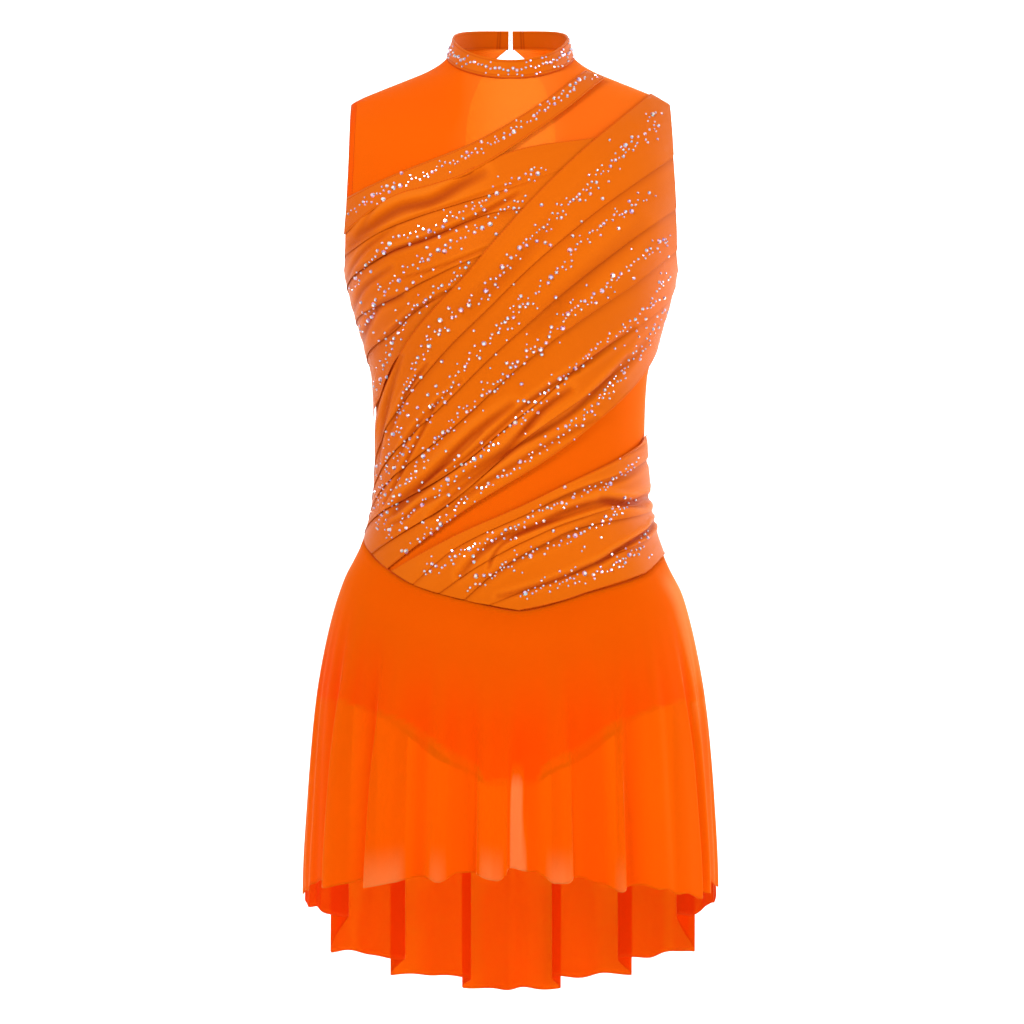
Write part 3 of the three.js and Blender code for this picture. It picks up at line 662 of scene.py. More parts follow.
# The main creases, each as how deep it is and how wide, and the places x and z that it runs through
UPPER_CREASES = [
    (2.8, 4.5, [(-26, -110), (-44, -119), (-72, -135), (-102, -142), (-130, -158), (-148, -172)]),
    (1.0, 1.4, [(7, -117), (-45, -136), (-73, -145), (-112, -159), (-148, -173)]),
    (1.9, 2.0, [(7, -128), (-6, -136), (-45, -157), (-90, -175), (-115, -182)]),
    (1.4, 1.5, [(-23, -180), (-43, -188), (-75, -199), (-102, -206)]),
    (1.6, 1.8, [(-54, -217), (-80, -230), (-104, -248), (-119, -262)]),
    (1.4, 2.6, [(-37, -109), (-80, -118), (-114, -126), (-141, -162)]),
    (1.4, 1.8, [(-56, -163), (-100, -178), (-116, -184), (-143, -197)]),
    (1.8, 2.8, [(-100, -222), (-123, -232), (-139, -262), (-143, -280)]),
    (1.6, 2.4, [(-110, -196), (-136, -214), (-152, -244)]),
    (1.4, 2.2, [(-108, -160), (-138, -182), (-157, -212)]),
]
MAIN_CREASES = [
    (2.2, 2.4, [(113, -250), (71, -283), (44, -301), (13, -324), (-35, -367), (-79, -402), (-116, -432)]),
    (2.6, 2.6, [(109, -277), (83, -306), (51, -335), (7, -362), (-42, -399), (-73, -428)]),
    (3.0, 3.2, [(54, -310), (30, -328), (1, -360), (-28, -381), (-58, -403)]),
    (3.0, 3.6, [(1, -324), (-34, -351), (-71, -387), (-98, -411), (-109, -423)]),
    (1.8, 1.6, [(-26, -349), (-46, -369), (-71, -389), (-89, -405)]),
    (1.6, 1.8, [(-46, -301), (-74, -328), (-96, -356), (-106, -376)]),
    (1.8, 1.8, [(-77, -285), (-95, -310), (-114, -352)]),
    (1.8, 2.0, [(-58, -405), (-83, -417), (-98, -430), (-111, -436)]),
    (1.6, 2.6, [(80, -337), (48, -353), (1, -381), (-34, -403), (-67, -430)]),
    (1.8, 1.6, [(-67, -319), (-86, -356), (-105, -394), (-117, -418)]),
    (1.6, 2.0, [(-100, -277), (-113, -319), (-121, -356), (-125, -394)]),
    (0.9, 6.0, [(-41, -236), (-6, -205), (40, -155)]),
    (0.9, 7.0, [(20, -255), (60, -215), (120, -160)]),
    (1.2, 3.0, [(126, -262), (104, -290), (76, -318)]),
]
WAIST_CREASES = [
    (1.5, 1.3, [(127, -354), (109, -364), (73, -381), (36, -395), (10, -406), (-26, -420), (-65, -436)]),
    (1.6, 1.4, [(124, -362), (96, -376), (60, -392), (26, -406), (-17, -426), (-52, -442), (-74, -453)]),
    (3.2, 3.0, [(124, -419), (105, -415), (81, -415), (51, -424), (19, -438), (-7, -447), (-28, -461),
                (-46, -482)]),
    (2.2, 1.6, [(109, -417), (81, -419), (46, -430), (15, -441), (-7, -453), (-17, -466), (-20, -475)]),
    (3.2, 3.6, [(160, -412), (148, -412), (136, -411), (122, -413), (105, -416), (84, -411)]),
    (2.2, 2.0, [(134, -435), (128, -443), (109, -454), (81, -471)]),
    (2.2, 2.2, [(136, -434), (127, -444), (97, -461), (85, -469), (50, -483), (12, -496), (-11, -502)]),
    (1.2, 3.0, [(82, -431), (45, -449), (7, -467), (-30, -491)]),
    (1.6, 2.4, [(130, -376), (104, -392), (66, -404), (30, -418)]),
]


# How a tuck is shaped, as shares of its pleat, and the depths in mm at which it is fully drawn down
# and fully shaded. A crease has a ridge on each side, as far away and as wide as these times its width.
TUCK_WIDE = 0.16
TUCK_PULL = 1.25
SWELL_MARGIN = 0.08
DRAWN_DEPTH = 1.2
SHADED_DEPTH = 1.6
RIDGE_AWAY = 2.1
RIDGE_WIDE = 1.1
RIDGE_SHARES = (0.28, 0.5)
PATH_STEPS = 6
ROW_CROWDING = 0.11
LEAST_RELIEF = 0.15
# Painted shadow under each tuck's folded edge, painted shade down in the creases and a painted highlight on
# the ridges beside them
UNDER_SHADOW, TROUGH_SHADE, RIDGE_HIGHLIGHT = 0.6, 0.27, 0.17


def tuck_profile(u, v, tucks):
    """How far the satin stands out in its tucks, how far each place is drawn down under the folded edge
    above it, as a share of the drape, and how deep it lies under that edge."""
    pleats = len(tucks) - 1
    near_end, far_end = ease(u, 0, 0.5), ease(u, 0.5, 1)
    depth_at = np.stack([
        np.where(u < 0.5, mix(a, b, near_end), mix(b, c, far_end)) for a, b, c in tucks
    ])
    which = np.clip(np.round(v * pleats).astype(int), 0, pleats)
    pick = np.arange(len(u))
    wide = TUCK_WIDE / pleats
    away = (v - which / pleats) / wide
    depth = depth_at[which, pick]
    inner = (which > 0) & (which < pleats)
    pull = TUCK_PULL * np.clip(depth / DRAWN_DEPTH, 0, 1) * inner
    drawn = -pull * wide * away * np.exp(0.5 - 2 * away ** 2)
    above = np.minimum((v * pleats).astype(int), pleats - 1)
    t = np.clip((v * pleats - above - SWELL_MARGIN) / (1 - 2 * SWELL_MARGIN), 0, 1)
    swell = depth_at[above + 1, pick] * np.sin(np.pi / 2 * t) ** 0.8
    near = np.abs(away) < 0.5
    turning = depth / 2 * (1 - np.sin(np.pi * np.clip(away, -0.5, 0.5)))
    height = np.where(near & inner, turning, swell)
    under = np.exp(-((away - 0.45) / 0.5) ** 2) * np.clip(depth / SHADED_DEPTH, 0, 1) * inner
    return height, drawn, under


def crease_profile(x, z, creases):
    """How deep each place lies in the creases, and how far it stands up on the ridges beside them."""
    trough = np.zeros_like(x)
    ridge = np.zeros_like(x)
    spot = np.stack([x, z], axis=-1)
    for depth, wide, route in creases:
        spans = len(route) - 1
        count = PATH_STEPS * spans
        path = smooth_path(np.array(route, float), np.linspace(0, spans, count + 1))
        nearest = np.full(len(x), 1e9)
        side = np.zeros(len(x))
        along = np.zeros(len(x))
        for n, (p, q) in enumerate(zip(path, path[1:])):
            way = q - p
            s = np.clip((spot - p) @ way / (way @ way), 0, 1)
            off = spot - (p + s[:, None] * way)
            far = np.hypot(off[:, 0], off[:, 1])
            closer = far < nearest
            nearest = np.where(closer, far, nearest)
            side = np.where(closer, np.sign(way[0] * off[:, 1] - way[1] * off[:, 0]), side)
            along = np.where(closer, (n + s) / count, along)
        fade = np.sin(np.pi * np.clip(0.06 + 0.9 * along, 0, 1)) ** 0.5
        trough += depth * fade * np.exp(-(nearest / wide) ** 2)
        beside = np.exp(-((nearest - RIDGE_AWAY * wide) / (RIDGE_WIDE * wide)) ** 2)
        ridge += depth * fade * beside * np.where(side > 0, *RIDGE_SHARES)
    return trough, ridge


drape_places = {}


def make_drape(name, node, lines, tucks, creases, flat_end, lift, grid, size):
    """A pleated drape from its lines, tucks and creases, laid as far out as lift says. At its gathered
    end it is pulled down to the share flat_end of its relief."""
    pleats = len(lines) - 1

    def shape(u, v):
        along = ends_closer(u)
        whole = np.minimum((v * pleats).astype(int), pleats - 1)
        part = v * pleats - whole
        v = (whole + part - ROW_CROWDING * np.sin(2 * np.pi * part)) / pleats
        height, drawn, under = tuck_profile(along, v, tucks)
        x, z = drape_place(lines, along, v + drawn)
        trough, ridge = crease_profile(x, z, creases)
        relief = np.maximum(height + 1.0 + ridge - trough, LEAST_RELIEF)
        relief = relief * mix(flat_end, 1, ease(along, 0, 0.16))
        # Painted shadow and shade in the folds, and below 0 a painted highlight on the ridges
        fold = UNDER_SHADOW * under + TROUGH_SHADE * trough - RIDGE_HIGHLIGHT * ridge
        return x, z, lift(along, v) + CLOTH_LAYER + relief, np.clip(fold, -0.6, 0.95)

    def place(u, v):
        x, z, out, _ = shape(u, v)
        return off_form(x, z, -1, out)

    drape_places[name] = place
    piece = cloth(
        name, grid[0], grid[1] * pleats, place, SATIN_THICK, size, satin, lambda u, v: shape(u, v)[3])
    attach(piece, "root")
    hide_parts(node)


make_drape(
    "upper_pleats", "upper_drape", UPPER, UPPER_TUCKS, UPPER_CREASES, 0.4,
    lambda u, v: np.full_like(u, ON_MESH), (150, 30), (250, 190))
make_drape(
    "main_pleats", "main_drape", MAIN, MAIN_TUCKS, MAIN_CREASES, 0.12,
    lambda u, v: mix(ON_DRAPE, ON_MESH, np.maximum.reduce(
        [ease(v, 0.07, 0.22), ease(u, 0.80, 0.92), 1 - ease(u, 0.02, 0.10)])),
    (220, 32), (430, 240))
make_drape(
    "waist_pleats", "waist_drape", WAIST, WAIST_TUCKS, WAIST_CREASES, 0.75,
    lambda u, v: np.full_like(u, ON_MESH), (180, 28), (290, 130))


# The skirt is cut from soft mesh in a front and a back panel, flared and high-low. It hangs from the
# waist seam in soft folds that open towards its raw hem.
SKIRT = [
    (-917, 199, 152, 170), (-780, 198, 150, 163), (-700, 194, 142, 155), (-640, 189.5, 132, 146),
    (-600, 185, 124, 138), (-560, 178, 115, 129), (-520, 168.5, 106, 118), (-490, 158.5, 101, 108),
    (-449, 140.5, 95, 95),
]
# The folds and valleys at the hem, by angle from the front: how far out the cloth lies on the near side
# and the far side, how far it is drawn back over itself there, and the hem's height on both sides
FOLDS = [
    (-180, -2, -2, 0, -918, -918), (-167, 6, -6, 24, -918, -904), (-145.5, 9, -7, 26, -899, -880),
    (-122, 9, -7, 26, -866, -829), (-101, 1, 1, 0, -811, -811), (-90, 0, 0, 0, -793, -793),
    (-60.5, -5, 6, 20, -772, -776), (-41.5, -5, 6, 20, -764, -771), (-32, 4, 4, 0, -764, -764),
    (-26, -4, -4, 0, -757, -757), (-20, 3, 3, 0, -762, -762), (-14, -3, -3, 0, -753, -753),
    (-9, -4, 4, 12, -752, -758), (-1, 3, -4, 12, -758, -749), (6, -4, -4, 0, -751, -751),
    (12, 4, 4, 0, -761, -761), (17, 3, -4, 12, -762, -756), (25, -4, -4, 0, -765, -765),
    (32.5, 3, -4, 12, -773, -768), (45, 3, 3, 0, -773, -773), (53, 2, 2, 0, -781, -781),
    (62, 6, -4, 20, -786, -781), (71.5, 4, -3, 14, -785, -777), (90, 0, 0, 0, -787, -787),
    (101, 1, 1, 0, -809, -809), (120, -7, 9, 26, -829, -866), (145, -7, 9, 26, -880, -899),
    (166.5, -6, 6, 24, -904, -918), (180, -2, -2, 0, -918, -918),
]
FOLD_WIDTH = 7
HEM_RADIUS = 185
SKIRT_LEAVES = 40
SKIRT_OFF = 1.2
SKIRT_THICK = 0.35
FOLDS_START = 40
FOLDS_FULL = 300
FOLDS_DRAWN = 190
GAP_TOP = -648
skirt_half, skirt_front, skirt_back = (table(SKIRT, column) for column in (1, 2, 3))
# The skirt's pale tone is painted light and its dark tone painted shade
SKIRT_TONES = ((1.0, 0.40, 0.110), (1.0, 0.195, 0.001), (1.0, 0.056, 0.0))
SKIRT_PASSED = (1.0, 0.56, 0.08)
INSIDE_SHADE = 0.7
skirt_mesh = net_material("skirt_mesh", SKIRT_TONES, SKIRT_PASSED, 1100.0, 0.46, 0.30)
# The brief's leg line in front, as a share of the width, x and z
LEG_FRONT = [(0, 0, -690), (0.2, 22, -690), (0.32, 30, -675), (0.5, 59, -657), (0.68, 88, -634),
             (0.86, 130, -615), (1, 163, -605)]
LEG_LIFTS, LEG_REACH = (24, 5), 160
# How far the skirt is painted towards its dark tone: plain, painted shade in its folds and over the brief,
# painted light below the brief, where the sides catch the light (degrees round, and mm down), on the
# front folds' ridges near the hem and where the front hem parts
PLAIN_TONE, FOLD_SHADE, LEAST_TONE = 0.30, 0.05, 0.04
OVER_BRIEF_SHADE, BELOW_BRIEF_LIGHT = 0.24, 0.25
SIDE_LIT, LIT_ANGLES, LIT_DEPTHS = 0.9, (62, 74, 96, 108), (475, 500, 560, 640)
HEM_RIDGE_LIGHT, HEM_RIDGE_ANGLES = 0.7, (-50, -35, 24, 40)
GAP_LIGHT = -0.95
TONE_STARTS = (10, 130)


def fold_at(angle):
    """How far out and along the cloth lies at an angle round the hem, and the hem's height there."""
    rows = np.array(FOLDS, float)
    i = np.clip(np.searchsorted(rows[:, 0], angle) - 1, 0, len(rows) - 2)
    a, b = rows[i], rows[i + 1]
    half = FOLD_WIDTH / 2
    start, end = a[:, 0] + half * (a[:, 3] > 0), b[:, 0] - half * (b[:, 3] > 0)

    def read(near, far):
        def round_fold(row, layer, away):
            middle = (row[:, near] + row[:, far]) / 2
            return mix(middle, row[:, layer], np.sin(np.pi / 2 * np.clip(away / half, 0, 1)))

        leaving = round_fold(a, far, angle - a[:, 0])
        coming = round_fold(b, near, b[:, 0] - angle)
        t = np.clip((angle - start) / (end - start), 0, 1)
        between = mix(a[:, far], b[:, near], t * t * (3 - 2 * t))
        return np.where(angle < start, leaving, np.where(angle > end, coming, between))

    along = 0
    for row in (a, b):
        away = (angle - row[:, 0]) / FOLD_WIDTH
        along = along - row[:, 3] * away * np.exp(0.5 - 2 * away ** 2)
    return read(1, 2), along, read(4, 5)


def column_angles(steps):
    """Degrees round a panel for its columns, closer together where the cloth turns in a fold."""
    fine = np.linspace(-90, 90, 2000)
    both = np.concatenate([fine, 180 - fine, -180 - fine])
    weight = np.ones_like(both)
    for row in FOLDS:
        if row[3]:
            weight += 3 * np.exp(-((both - row[0]) / 5) ** 2)
    weight = weight.reshape(3, -1)
    return {
        -1: np.interp(steps, np.cumsum(weight[0]) / weight[0].sum(), fine),
        1: np.interp(steps, np.cumsum(weight[1] + weight[2]) / (weight[1] + weight[2]).sum(), fine),
    }


def skirt_shade_and_light(v, side, x, z, angle, fall, wave, fine):
    """Painted shade in the folds, over the brief and down inside the back, and painted light below the
    brief's leg, beside the hips, on the front folds' ridges near the hem and where the front hem parts."""
    deep = PLAIN_TONE - FOLD_SHADE * fine
    lit = SIDE_LIT * spell(angle, *LIT_ANGLES) * spell(-z, *LIT_DEPTHS)
    if side > 0:
        deep = np.maximum(deep - FOLD_SHADE * wave, LEAST_TONE)
        # Painted shade in the folds and down inside the back towards the hem, and painted light beside the
        # hips
        return deep * ease(fall, *TONE_STARTS) - lit + INSIDE_SHADE * ease(-z, 690, 840)
    leg = table([row[1:] for row in LEG_FRONT], 1)(np.abs(x)) + mix(*LEG_LIFTS, np.abs(x) / LEG_REACH)
    over = ease(z, leg - 3, leg + 2)
    # Painted shade in the folds and where the brief lies behind, painted light below its leg
    deep = deep - mix(0.09, 0.02, over) * wave + mix(-BELOW_BRIEF_LIGHT, OVER_BRIEF_SHADE, over)
    deep = np.maximum(deep, 0) * ease(fall, *TONE_STARTS) - lit
    # Painted light on the front folds' ridges near the hem, and where the front hem parts
    hem_ridge_light = np.clip(wave / 4, 0, 1) * ease(v, 0.84, 1.0) * spell(angle, *HEM_RIDGE_ANGLES)
    gap = 1 - ease(np.abs(angle - mix(2.6, 3.4, v)), mix(0.2, 1.5, v), mix(0.8, 2.3, v))
    gap = gap * ease(-z, -GAP_TOP, 30 - GAP_TOP)
    return mix(deep - HEM_RIDGE_LIGHT * hem_ridge_light, GAP_LIGHT, gap)


def skirt_shape(u, v, side):
    """Places on a skirt panel and their tones, with painted light and shade: u runs round it, v from the
    waist seam to the hem.
    """
    sideways = column_angles(u)[side]
    angle = sideways if side < 0 else np.where(sideways < 0, -180 - sideways, 180 - sideways)
    top = waist_place(sideways / 90, side)[1] - HALF_SEAM
    wave, along, hem = fold_at(angle)
    ripple = 0.9 * np.sin(np.radians(angle) * 47 + 1.0) + 0.7 * np.sin(np.radians(angle) * 29)
    z = mix(top, hem + ripple, v ** 0.9)
    fall = top - z
    grown = ease(fall, FOLDS_START, FOLDS_FULL)
    drawn = ease(fall, FOLDS_START, FOLDS_DRAWN)
    leaves = ease(fall, 0, SKIRT_LEAVES)
    fine = 0.7 * np.sin(np.radians(angle) * 53 + 2.0) + 0.6 * np.sin(np.radians(angle) * 31 + fall / 70)
    out = wave * grown + fine * ease(fall, 20, 200)
    half = mix(form_half(z), skirt_half(z), leaves) + out
    table_depth, form_depth = (skirt_front(z), form_front(z)) if side < 0 else (skirt_back(z), form_back(z))
    deep = mix(form_depth, table_depth, leaves) + out
    power = mix(form_power(z), 2, ease(fall, 0, FOLDS_FULL))
    turn = np.radians(sideways) - side * along * drawn / HEM_RADIUS
    across = np.clip(np.abs(np.sin(turn)), 0, 1)
    x = np.sign(turn) * half * across
    y = side * deep * np.maximum(0, 1 - across ** power) ** (1 / power)
    out_way = np.stack([x / half ** 2, y / deep ** 2, np.zeros_like(x)], axis=-1)
    out_way /= np.linalg.norm(out_way, axis=-1, keepdims=True)
    place = np.stack([x, y + side * HALF_SEAM, z], axis=-1) + out_way * SKIRT_OFF
    return place, skirt_shade_and_light(v, side, x, z, angle, fall, wave, fine)


SKIRT_PANELS = (("skirt_front", -1, (590, 330), 0.150), ("skirt_back", 1, (640, 460), 0.215))
for node, side, size, area in SKIRT_PANELS:
    skirt = cloth(
        node + "_panel", 300, 70, lambda u, v: skirt_shape(u, v, side)[0], SKIRT_THICK, size, skirt_mesh,
        lambda u, v: skirt_shape(u, v, side)[1])
    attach(skirt, "root")
    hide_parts(node)


# The brief is plain stretch knit, a front and a back joined at the sides and the crotch, and sewn into
# the waist seam inside the skirt. It shows through the skirt as a deeper tone, with painted shade on the
# skirt over it.
LEG_BACK = [(0, 0, -690), (0.2, 22, -690), (0.32, 38, -684), (0.5, 72, -672), (0.68, 102, -650),
            (0.86, 138, -622), (1, 163, -605)]
BRIEF_LIGHT = (0.84, 0.012, 0.0)
BRIEF_DARK = (0.78, 0.009, 0.0)


def knit_material(name, light, dark, roughness):
    """Plain matt stretch knit."""
    material, tree, shader = new_finish(name, {"Roughness": roughness, "Specular IOR Level": 0.1})
    knit = add_node(tree, "Group", {"Place": weave_place(tree)}, FINE_KNIT)
    tree.links.new(tone(tree, light, dark, cloudy(tree, 18.0)), shader.inputs["Base Color"])
    bump(tree, shader, knit.outputs["Height"], 0.25, 0.0002)
    return material


brief_knit = knit_material("brief_knit", BRIEF_LIGHT, BRIEF_DARK, 0.75)
for node, side, leg in (("brief_front", -1, LEG_FRONT), ("brief_back", 1, LEG_BACK)):
    leg_x, leg_z = table(leg, 1), table(leg, 2)

    def brief_place(u, v):
        u = 2 * u - 1
        sign, share = np.where(u < 0, -1.0, 1.0), np.abs(u)
        z = mix(waist_place(u, side)[1] - HALF_SEAM, leg_z(share), v ** 0.9)
        wide = form_half(z) * np.sin(np.radians(90 * share))
        x = np.minimum(mix(wide, leg_x(share), v ** 1.8), form_half(z))
        return off_form(sign * x, z, side, np.full_like(x, -MESH_IN))

    brief = cloth(node + "_panel", 90, 60, brief_place, 0.6, (380, 210), brief_knit)
    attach(brief, "root")
    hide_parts(node)


# Seams and stitching. A narrow welt runs round the waist seam and under the collar, and rows of short
# stitches hold down the armholes' turned edges, the collar's edges and the edges of the satin.
SEAM_TONES = ((0.72, 0.100, 0.002), (0.62, 0.060, 0.001))
STITCH_LONG = 2.2
STITCH_STEP = 3.0
STITCH_WIDE = 0.42
STITCH_TALL = 0.3
WELT_SIDES = 6
sewn = knit_material("sewn_edges", *SEAM_TONES, 0.7)


def sewn_piece(name, bm):
    piece = finished(name, bm, sewn)
    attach(piece, "root")


def way_out(points):
    """Out from the middle of the figure, level, at each point."""
    out = points * [1, 1.6, 0]
    return out / np.linalg.norm(out, axis=1, keepdims=True)


def welt(name, paths, radius):
    """A thin round cord along each path of points in mm."""
    bm = bmesh.new()
    for points in paths:
        along = np.gradient(points, axis=0)
        along /= np.linalg.norm(along, axis=1, keepdims=True)
        out = way_out(points)
        up = np.cross(along, out)
        turns = np.radians(np.arange(0, 360, 360 / WELT_SIDES))[:, None, None]
        rings = (points + radius * (np.cos(turns) * out + np.sin(turns) * up)) * MM
        verts = [[bm.verts.new(p) for p in ring] for ring in rings]
        for near, far in zip(verts, verts[1:] + verts[:1]):
            for i in range(len(points) - 1):
                bm.faces.new((near[i], near[i + 1], far[i + 1], far[i])).smooth = True
        bm.faces.new([ring[0] for ring in verts])
        bm.faces.new([ring[-1] for ring in verts])
    bmesh.ops.recalc_face_normals(bm, faces=bm.faces)
    sewn_piece(name, bm)


def stitches(name, paths):
    """Joined short flat dashes along each path of points in mm, lying on the cloth."""
    bm = bmesh.new()
    for points in paths:
        far = np.concatenate([[0], np.cumsum(np.linalg.norm(np.diff(points, axis=0), axis=1))])
        for start in np.arange(0.5, far[-1] - STITCH_LONG, STITCH_STEP):
            ends = (start, start + STITCH_LONG)
            a, b = (Vector([np.interp(end, far, line) for line in points.T]) for end in ends)
            along = (b - a).normalized()
            out = Vector(way_out(np.array([a]))[0])
            across = along.cross(out).normalized()
            out = across.cross(along)
            seat = Matrix((along, across, out)).transposed().to_4x4()
            shape = Matrix.Diagonal((STITCH_LONG, STITCH_WIDE, STITCH_TALL, 1))
            middle = Matrix.Translation((a + b) / 2 * MM)
            bmesh.ops.create_cube(bm, size=MM, matrix=middle @ seat @ shape)
    sewn_piece(name, bm)


full = np.linspace(0, 1, 400)
round_waist = []
for side in (-1, 1):
    seam_x, seam_z = waist_place(2 * full - 1, side)
    round_waist.append(off_form(seam_x, seam_z, side, np.full_like(full, 0.2)))
welt("waist_seam", round_waist, 0.6)
round_neck = collar_place(mix(open_angle - 180, 180 - open_angle, full), np.zeros_like(full), 0.9)
welt("neck_seam", [round_neck - [0, 0, 0.4]], 0.5)

armhole_z = np.linspace(UNDERARM_Z + 2, SHOULDER_TIP_Z - 1, 120)
hem_x = edge_at(armhole_z) - ARMHOLE_HEM
hem_out = np.full_like(armhole_z, 0.1 - MESH_IN)
stitches("armhole_stitches", [
    off_form(hand * hem_x, armhole_z, side, hem_out) for hand in (-1, 1) for side in (-1, 1)
])
stitches("collar_stitches", [
    collar_place(
        mix(open_angle - 177, 177 - open_angle, full), np.full_like(full, share), COLLAR_THICK / 2 + 0.05)
    for share in (0.10, 0.90)
])
stitches("strap_stitches", [
    band_place(full, np.full_like(full, share)) for share in (0.07, 0.93)
])


def drape_edges(place):
    return [place(full * 0.98 + 0.01, np.full_like(full, share)) for share in (0.012, 0.985)]


for edge_name, place in drape_places.items():
    stitches(f"{edge_name}_stitches", drape_edges(place))


# Rhinestones: small faceted glass stones with an iridescent coat, glued in loose sprays along the band
# and the pleats. Each spray follows a line of places x and z in mm as seen from the front.
SPRAYS = {
    "shoulder_strap": [[(-155, -145), (-113, -123), (-70, -106), (-11, -77), (31, -48), (82, -8)]],
    "upper_pleats": [
        [(-151, -213), (-136, -192), (-107, -169), (-64, -157), (-19, -131), (35, -101)],
        [(-141, -253), (-129, -228), (-91, -193), (-53, -174), (-11, -149), (18, -131)],
        [(-126, -310), (-117, -275), (-92, -235), (-59, -211), (-36, -190)],
    ],
    "main_pleats": [
        [(135, -46), (134, -64), (97, -95), (54, -139), (18, -170), (-6, -202), (-60, -248), (-92, -290),
         (-108, -343), (-122, -386), (-130, -430)],
        [(132, -124), (67, -170), (44, -202), (-5, -247), (-55, -302), (-86, -342), (-112, -389),
         (-126, -419)],
        [(150, -166), (102, -200), (52, -244), (2, -289), (-56, -340), (-99, -397), (-117, -424),
         (-129, -442)],
        [(150, -202), (120, -242), (65, -283), (15, -329), (-39, -380), (-98, -429), (-120, -450)],
        [(146, -234), (120, -274), (86, -316), (40, -359), (-23, -400), (-82, -447), (-104, -464)],
    ],
    "waist_pleats": [
        [(123, -377), (83, -400), (20, -427), (-15, -445), (-58, -468), (-84, -480)],
        [(118, -412), (90, -430), (63, -444), (15, -464), (-23, -484), (-45, -495)],
        [(132, -446), (118, -460), (89, -477), (38, -491), (6, -502)],
    ],
}
SPRAY_STEP = 3.9
CORE_SPREAD, NEAR_SPREAD, WIDE_SPREAD = 2.5, 3.5, 8.5
NEAR_CHANCE, WIDE_CHANCE = 0.55, 0.45
STONE_SIZES = (1.1, 1.4, 1.9, 2.6)
STONE_SHARES = (28, 38, 24, 10)
# The tops' and sides' colours are painted reflection, as clear glass with an iridescent coat reflects light
TABLE_TINTS = ((0.98, 0.96, 1.0), (1.0, 0.72, 0.85), (0.85, 0.70, 1.0), (0.72, 0.88, 1.0),
               (1.0, 0.86, 0.74))
TABLE_SHARES = (7, 4, 3, 3, 2)
SIDE_TINTS = ((0.55, 0.28, 0.50), (0.85, 0.42, 0.62), (0.30, 0.20, 0.42), (0.90, 0.78, 0.90),
              (0.32, 0.48, 0.66), (0.40, 0.12, 0.08), (0.42, 0.66, 0.66))
STONE_SIDES = 8
# A stone's flat top, height and middle above the cloth, in times its radius
STONE_TOP, STONE_TALL, STONE_MIDDLE = 0.56, 0.75, 0.3
STONE_APART = 0.35


def stone_material():
    """Glass stones under a glossy coat, each facet with its own colour from the attribute tint: the pale
    tops and darker tinted sides are painted reflection of clear glass with an iridescent coat.
    """
    material, tree, shader = new_finish("rhinestone", {
        "Roughness": 0.12, "Metallic": 0.35, "Coat Weight": 1.0, "Coat Roughness": 0.04,
    })
    tint = tree.nodes.new("ShaderNodeAttribute")
    tint.attribute_name = "tint"
    tree.links.new(tint.outputs["Color"], shader.inputs["Base Color"])
    return material


rhinestone = stone_material()


def set_stones(name, places, seed):
    """Joined faceted stones, each a low cut cone seated on the cloth: (point, way out, radius)."""
    draw = random.Random(seed)
    bm = bmesh.new()
    layer = bm.loops.layers.float_color.new("tint")
    for point, out, radius in places:
        seat = Matrix.Translation(point) @ out.to_track_quat("Z", "Y").to_matrix().to_4x4()
        spin = Matrix.Rotation(draw.uniform(0, math.pi), 4, "Z")
        made = bmesh.ops.create_cone(
            bm, cap_ends=True, cap_tris=False, segments=STONE_SIDES, radius1=radius,
            radius2=radius * STONE_TOP, depth=radius * STONE_TALL,
            matrix=seat @ spin @ Matrix.Translation((0, 0, radius * STONE_MIDDLE)))
        # Painted reflection: a pale top and darker tinted sides
        top = (*draw.choices(TABLE_TINTS, weights=TABLE_SHARES)[0], 1)
        facets = {face for vert in made["verts"] for face in vert.link_faces}
        for facet in sorted(facets, key=lambda face: face.index):
            side = (*draw.choice(SIDE_TINTS), 1)
            for loop in facet.loops:
                loop[layer] = top if len(facet.verts) == STONE_SIDES else side
    piece = finished(name, bm, rhinestone)
    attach(piece, "root")


def stone_size(draw):
    return draw.choices(STONE_SIZES, weights=STONE_SHARES)[0]


def spray(line, draw):
    """Places along a line: a dense row with smaller stones scattered to both sides."""
    knots = [Vector((x, 0, z)) for x, z in line]
    for a, b in zip(knots, knots[1:]):
        way = (b - a).normalized()
        aside = Vector((-way.z, 0, way.x))
        steps = max(1, round((b - a).length / SPRAY_STEP))
        for i in range(steps):
            core = a.lerp(b, (i + draw.uniform(-0.3, 0.3)) / steps)
            yield core + aside * draw.gauss(0, CORE_SPREAD), stone_size(draw)
            if draw.random() < NEAR_CHANCE:
                yield core + aside * draw.gauss(0, NEAR_SPREAD), draw.choice(STONE_SIZES[:2])
            if draw.random() < WIDE_CHANCE:
                yield core + aside * draw.gauss(0, WIDE_SPREAD), draw.choice(STONE_SIZES[:3])


def surface(piece):
    """The outer face of a finished sheet, to set things on."""
    mesh = piece.data
    return BVHTree.FromPolygons([v.co for v in mesh.vertices], [p.vertices for p in mesh.polygons])


def stones_on(piece, lines, seed):
    draw = random.Random(seed)
    tree = surface(piece)
    places, taken = [], []
    for line in lines:
        for spot, radius in spray(line, draw):
            hit, out, _, _ = tree.ray_cast(Vector((spot.x * MM, -0.4, spot.z * MM)), Vector((0, 1, 0)))
            clear = hit and all(
                (hit - at).length > (radius + size + STONE_APART) * MM for at, size in taken)
            if not clear or hit.y > 0.03:
                continue
            out = out if out.y < 0 else -out
            places.append((hit, out, radius * MM))
            taken.append((hit, radius))
    set_stones(f"stones_{piece.name}", places, seed + 1)


for number, (piece_name, lines) in enumerate(SPRAYS.items()):
    stones_on(bpy.data.objects[piece_name], lines, 40 + 7 * number)


# The collar's stones go all round its outer face, in a dense middle row with smaller ones beside it.
# They stop short of the two ends, where the fastening is.
COLLAR_STONES = 82
SMALL_CHANCE = 0.62


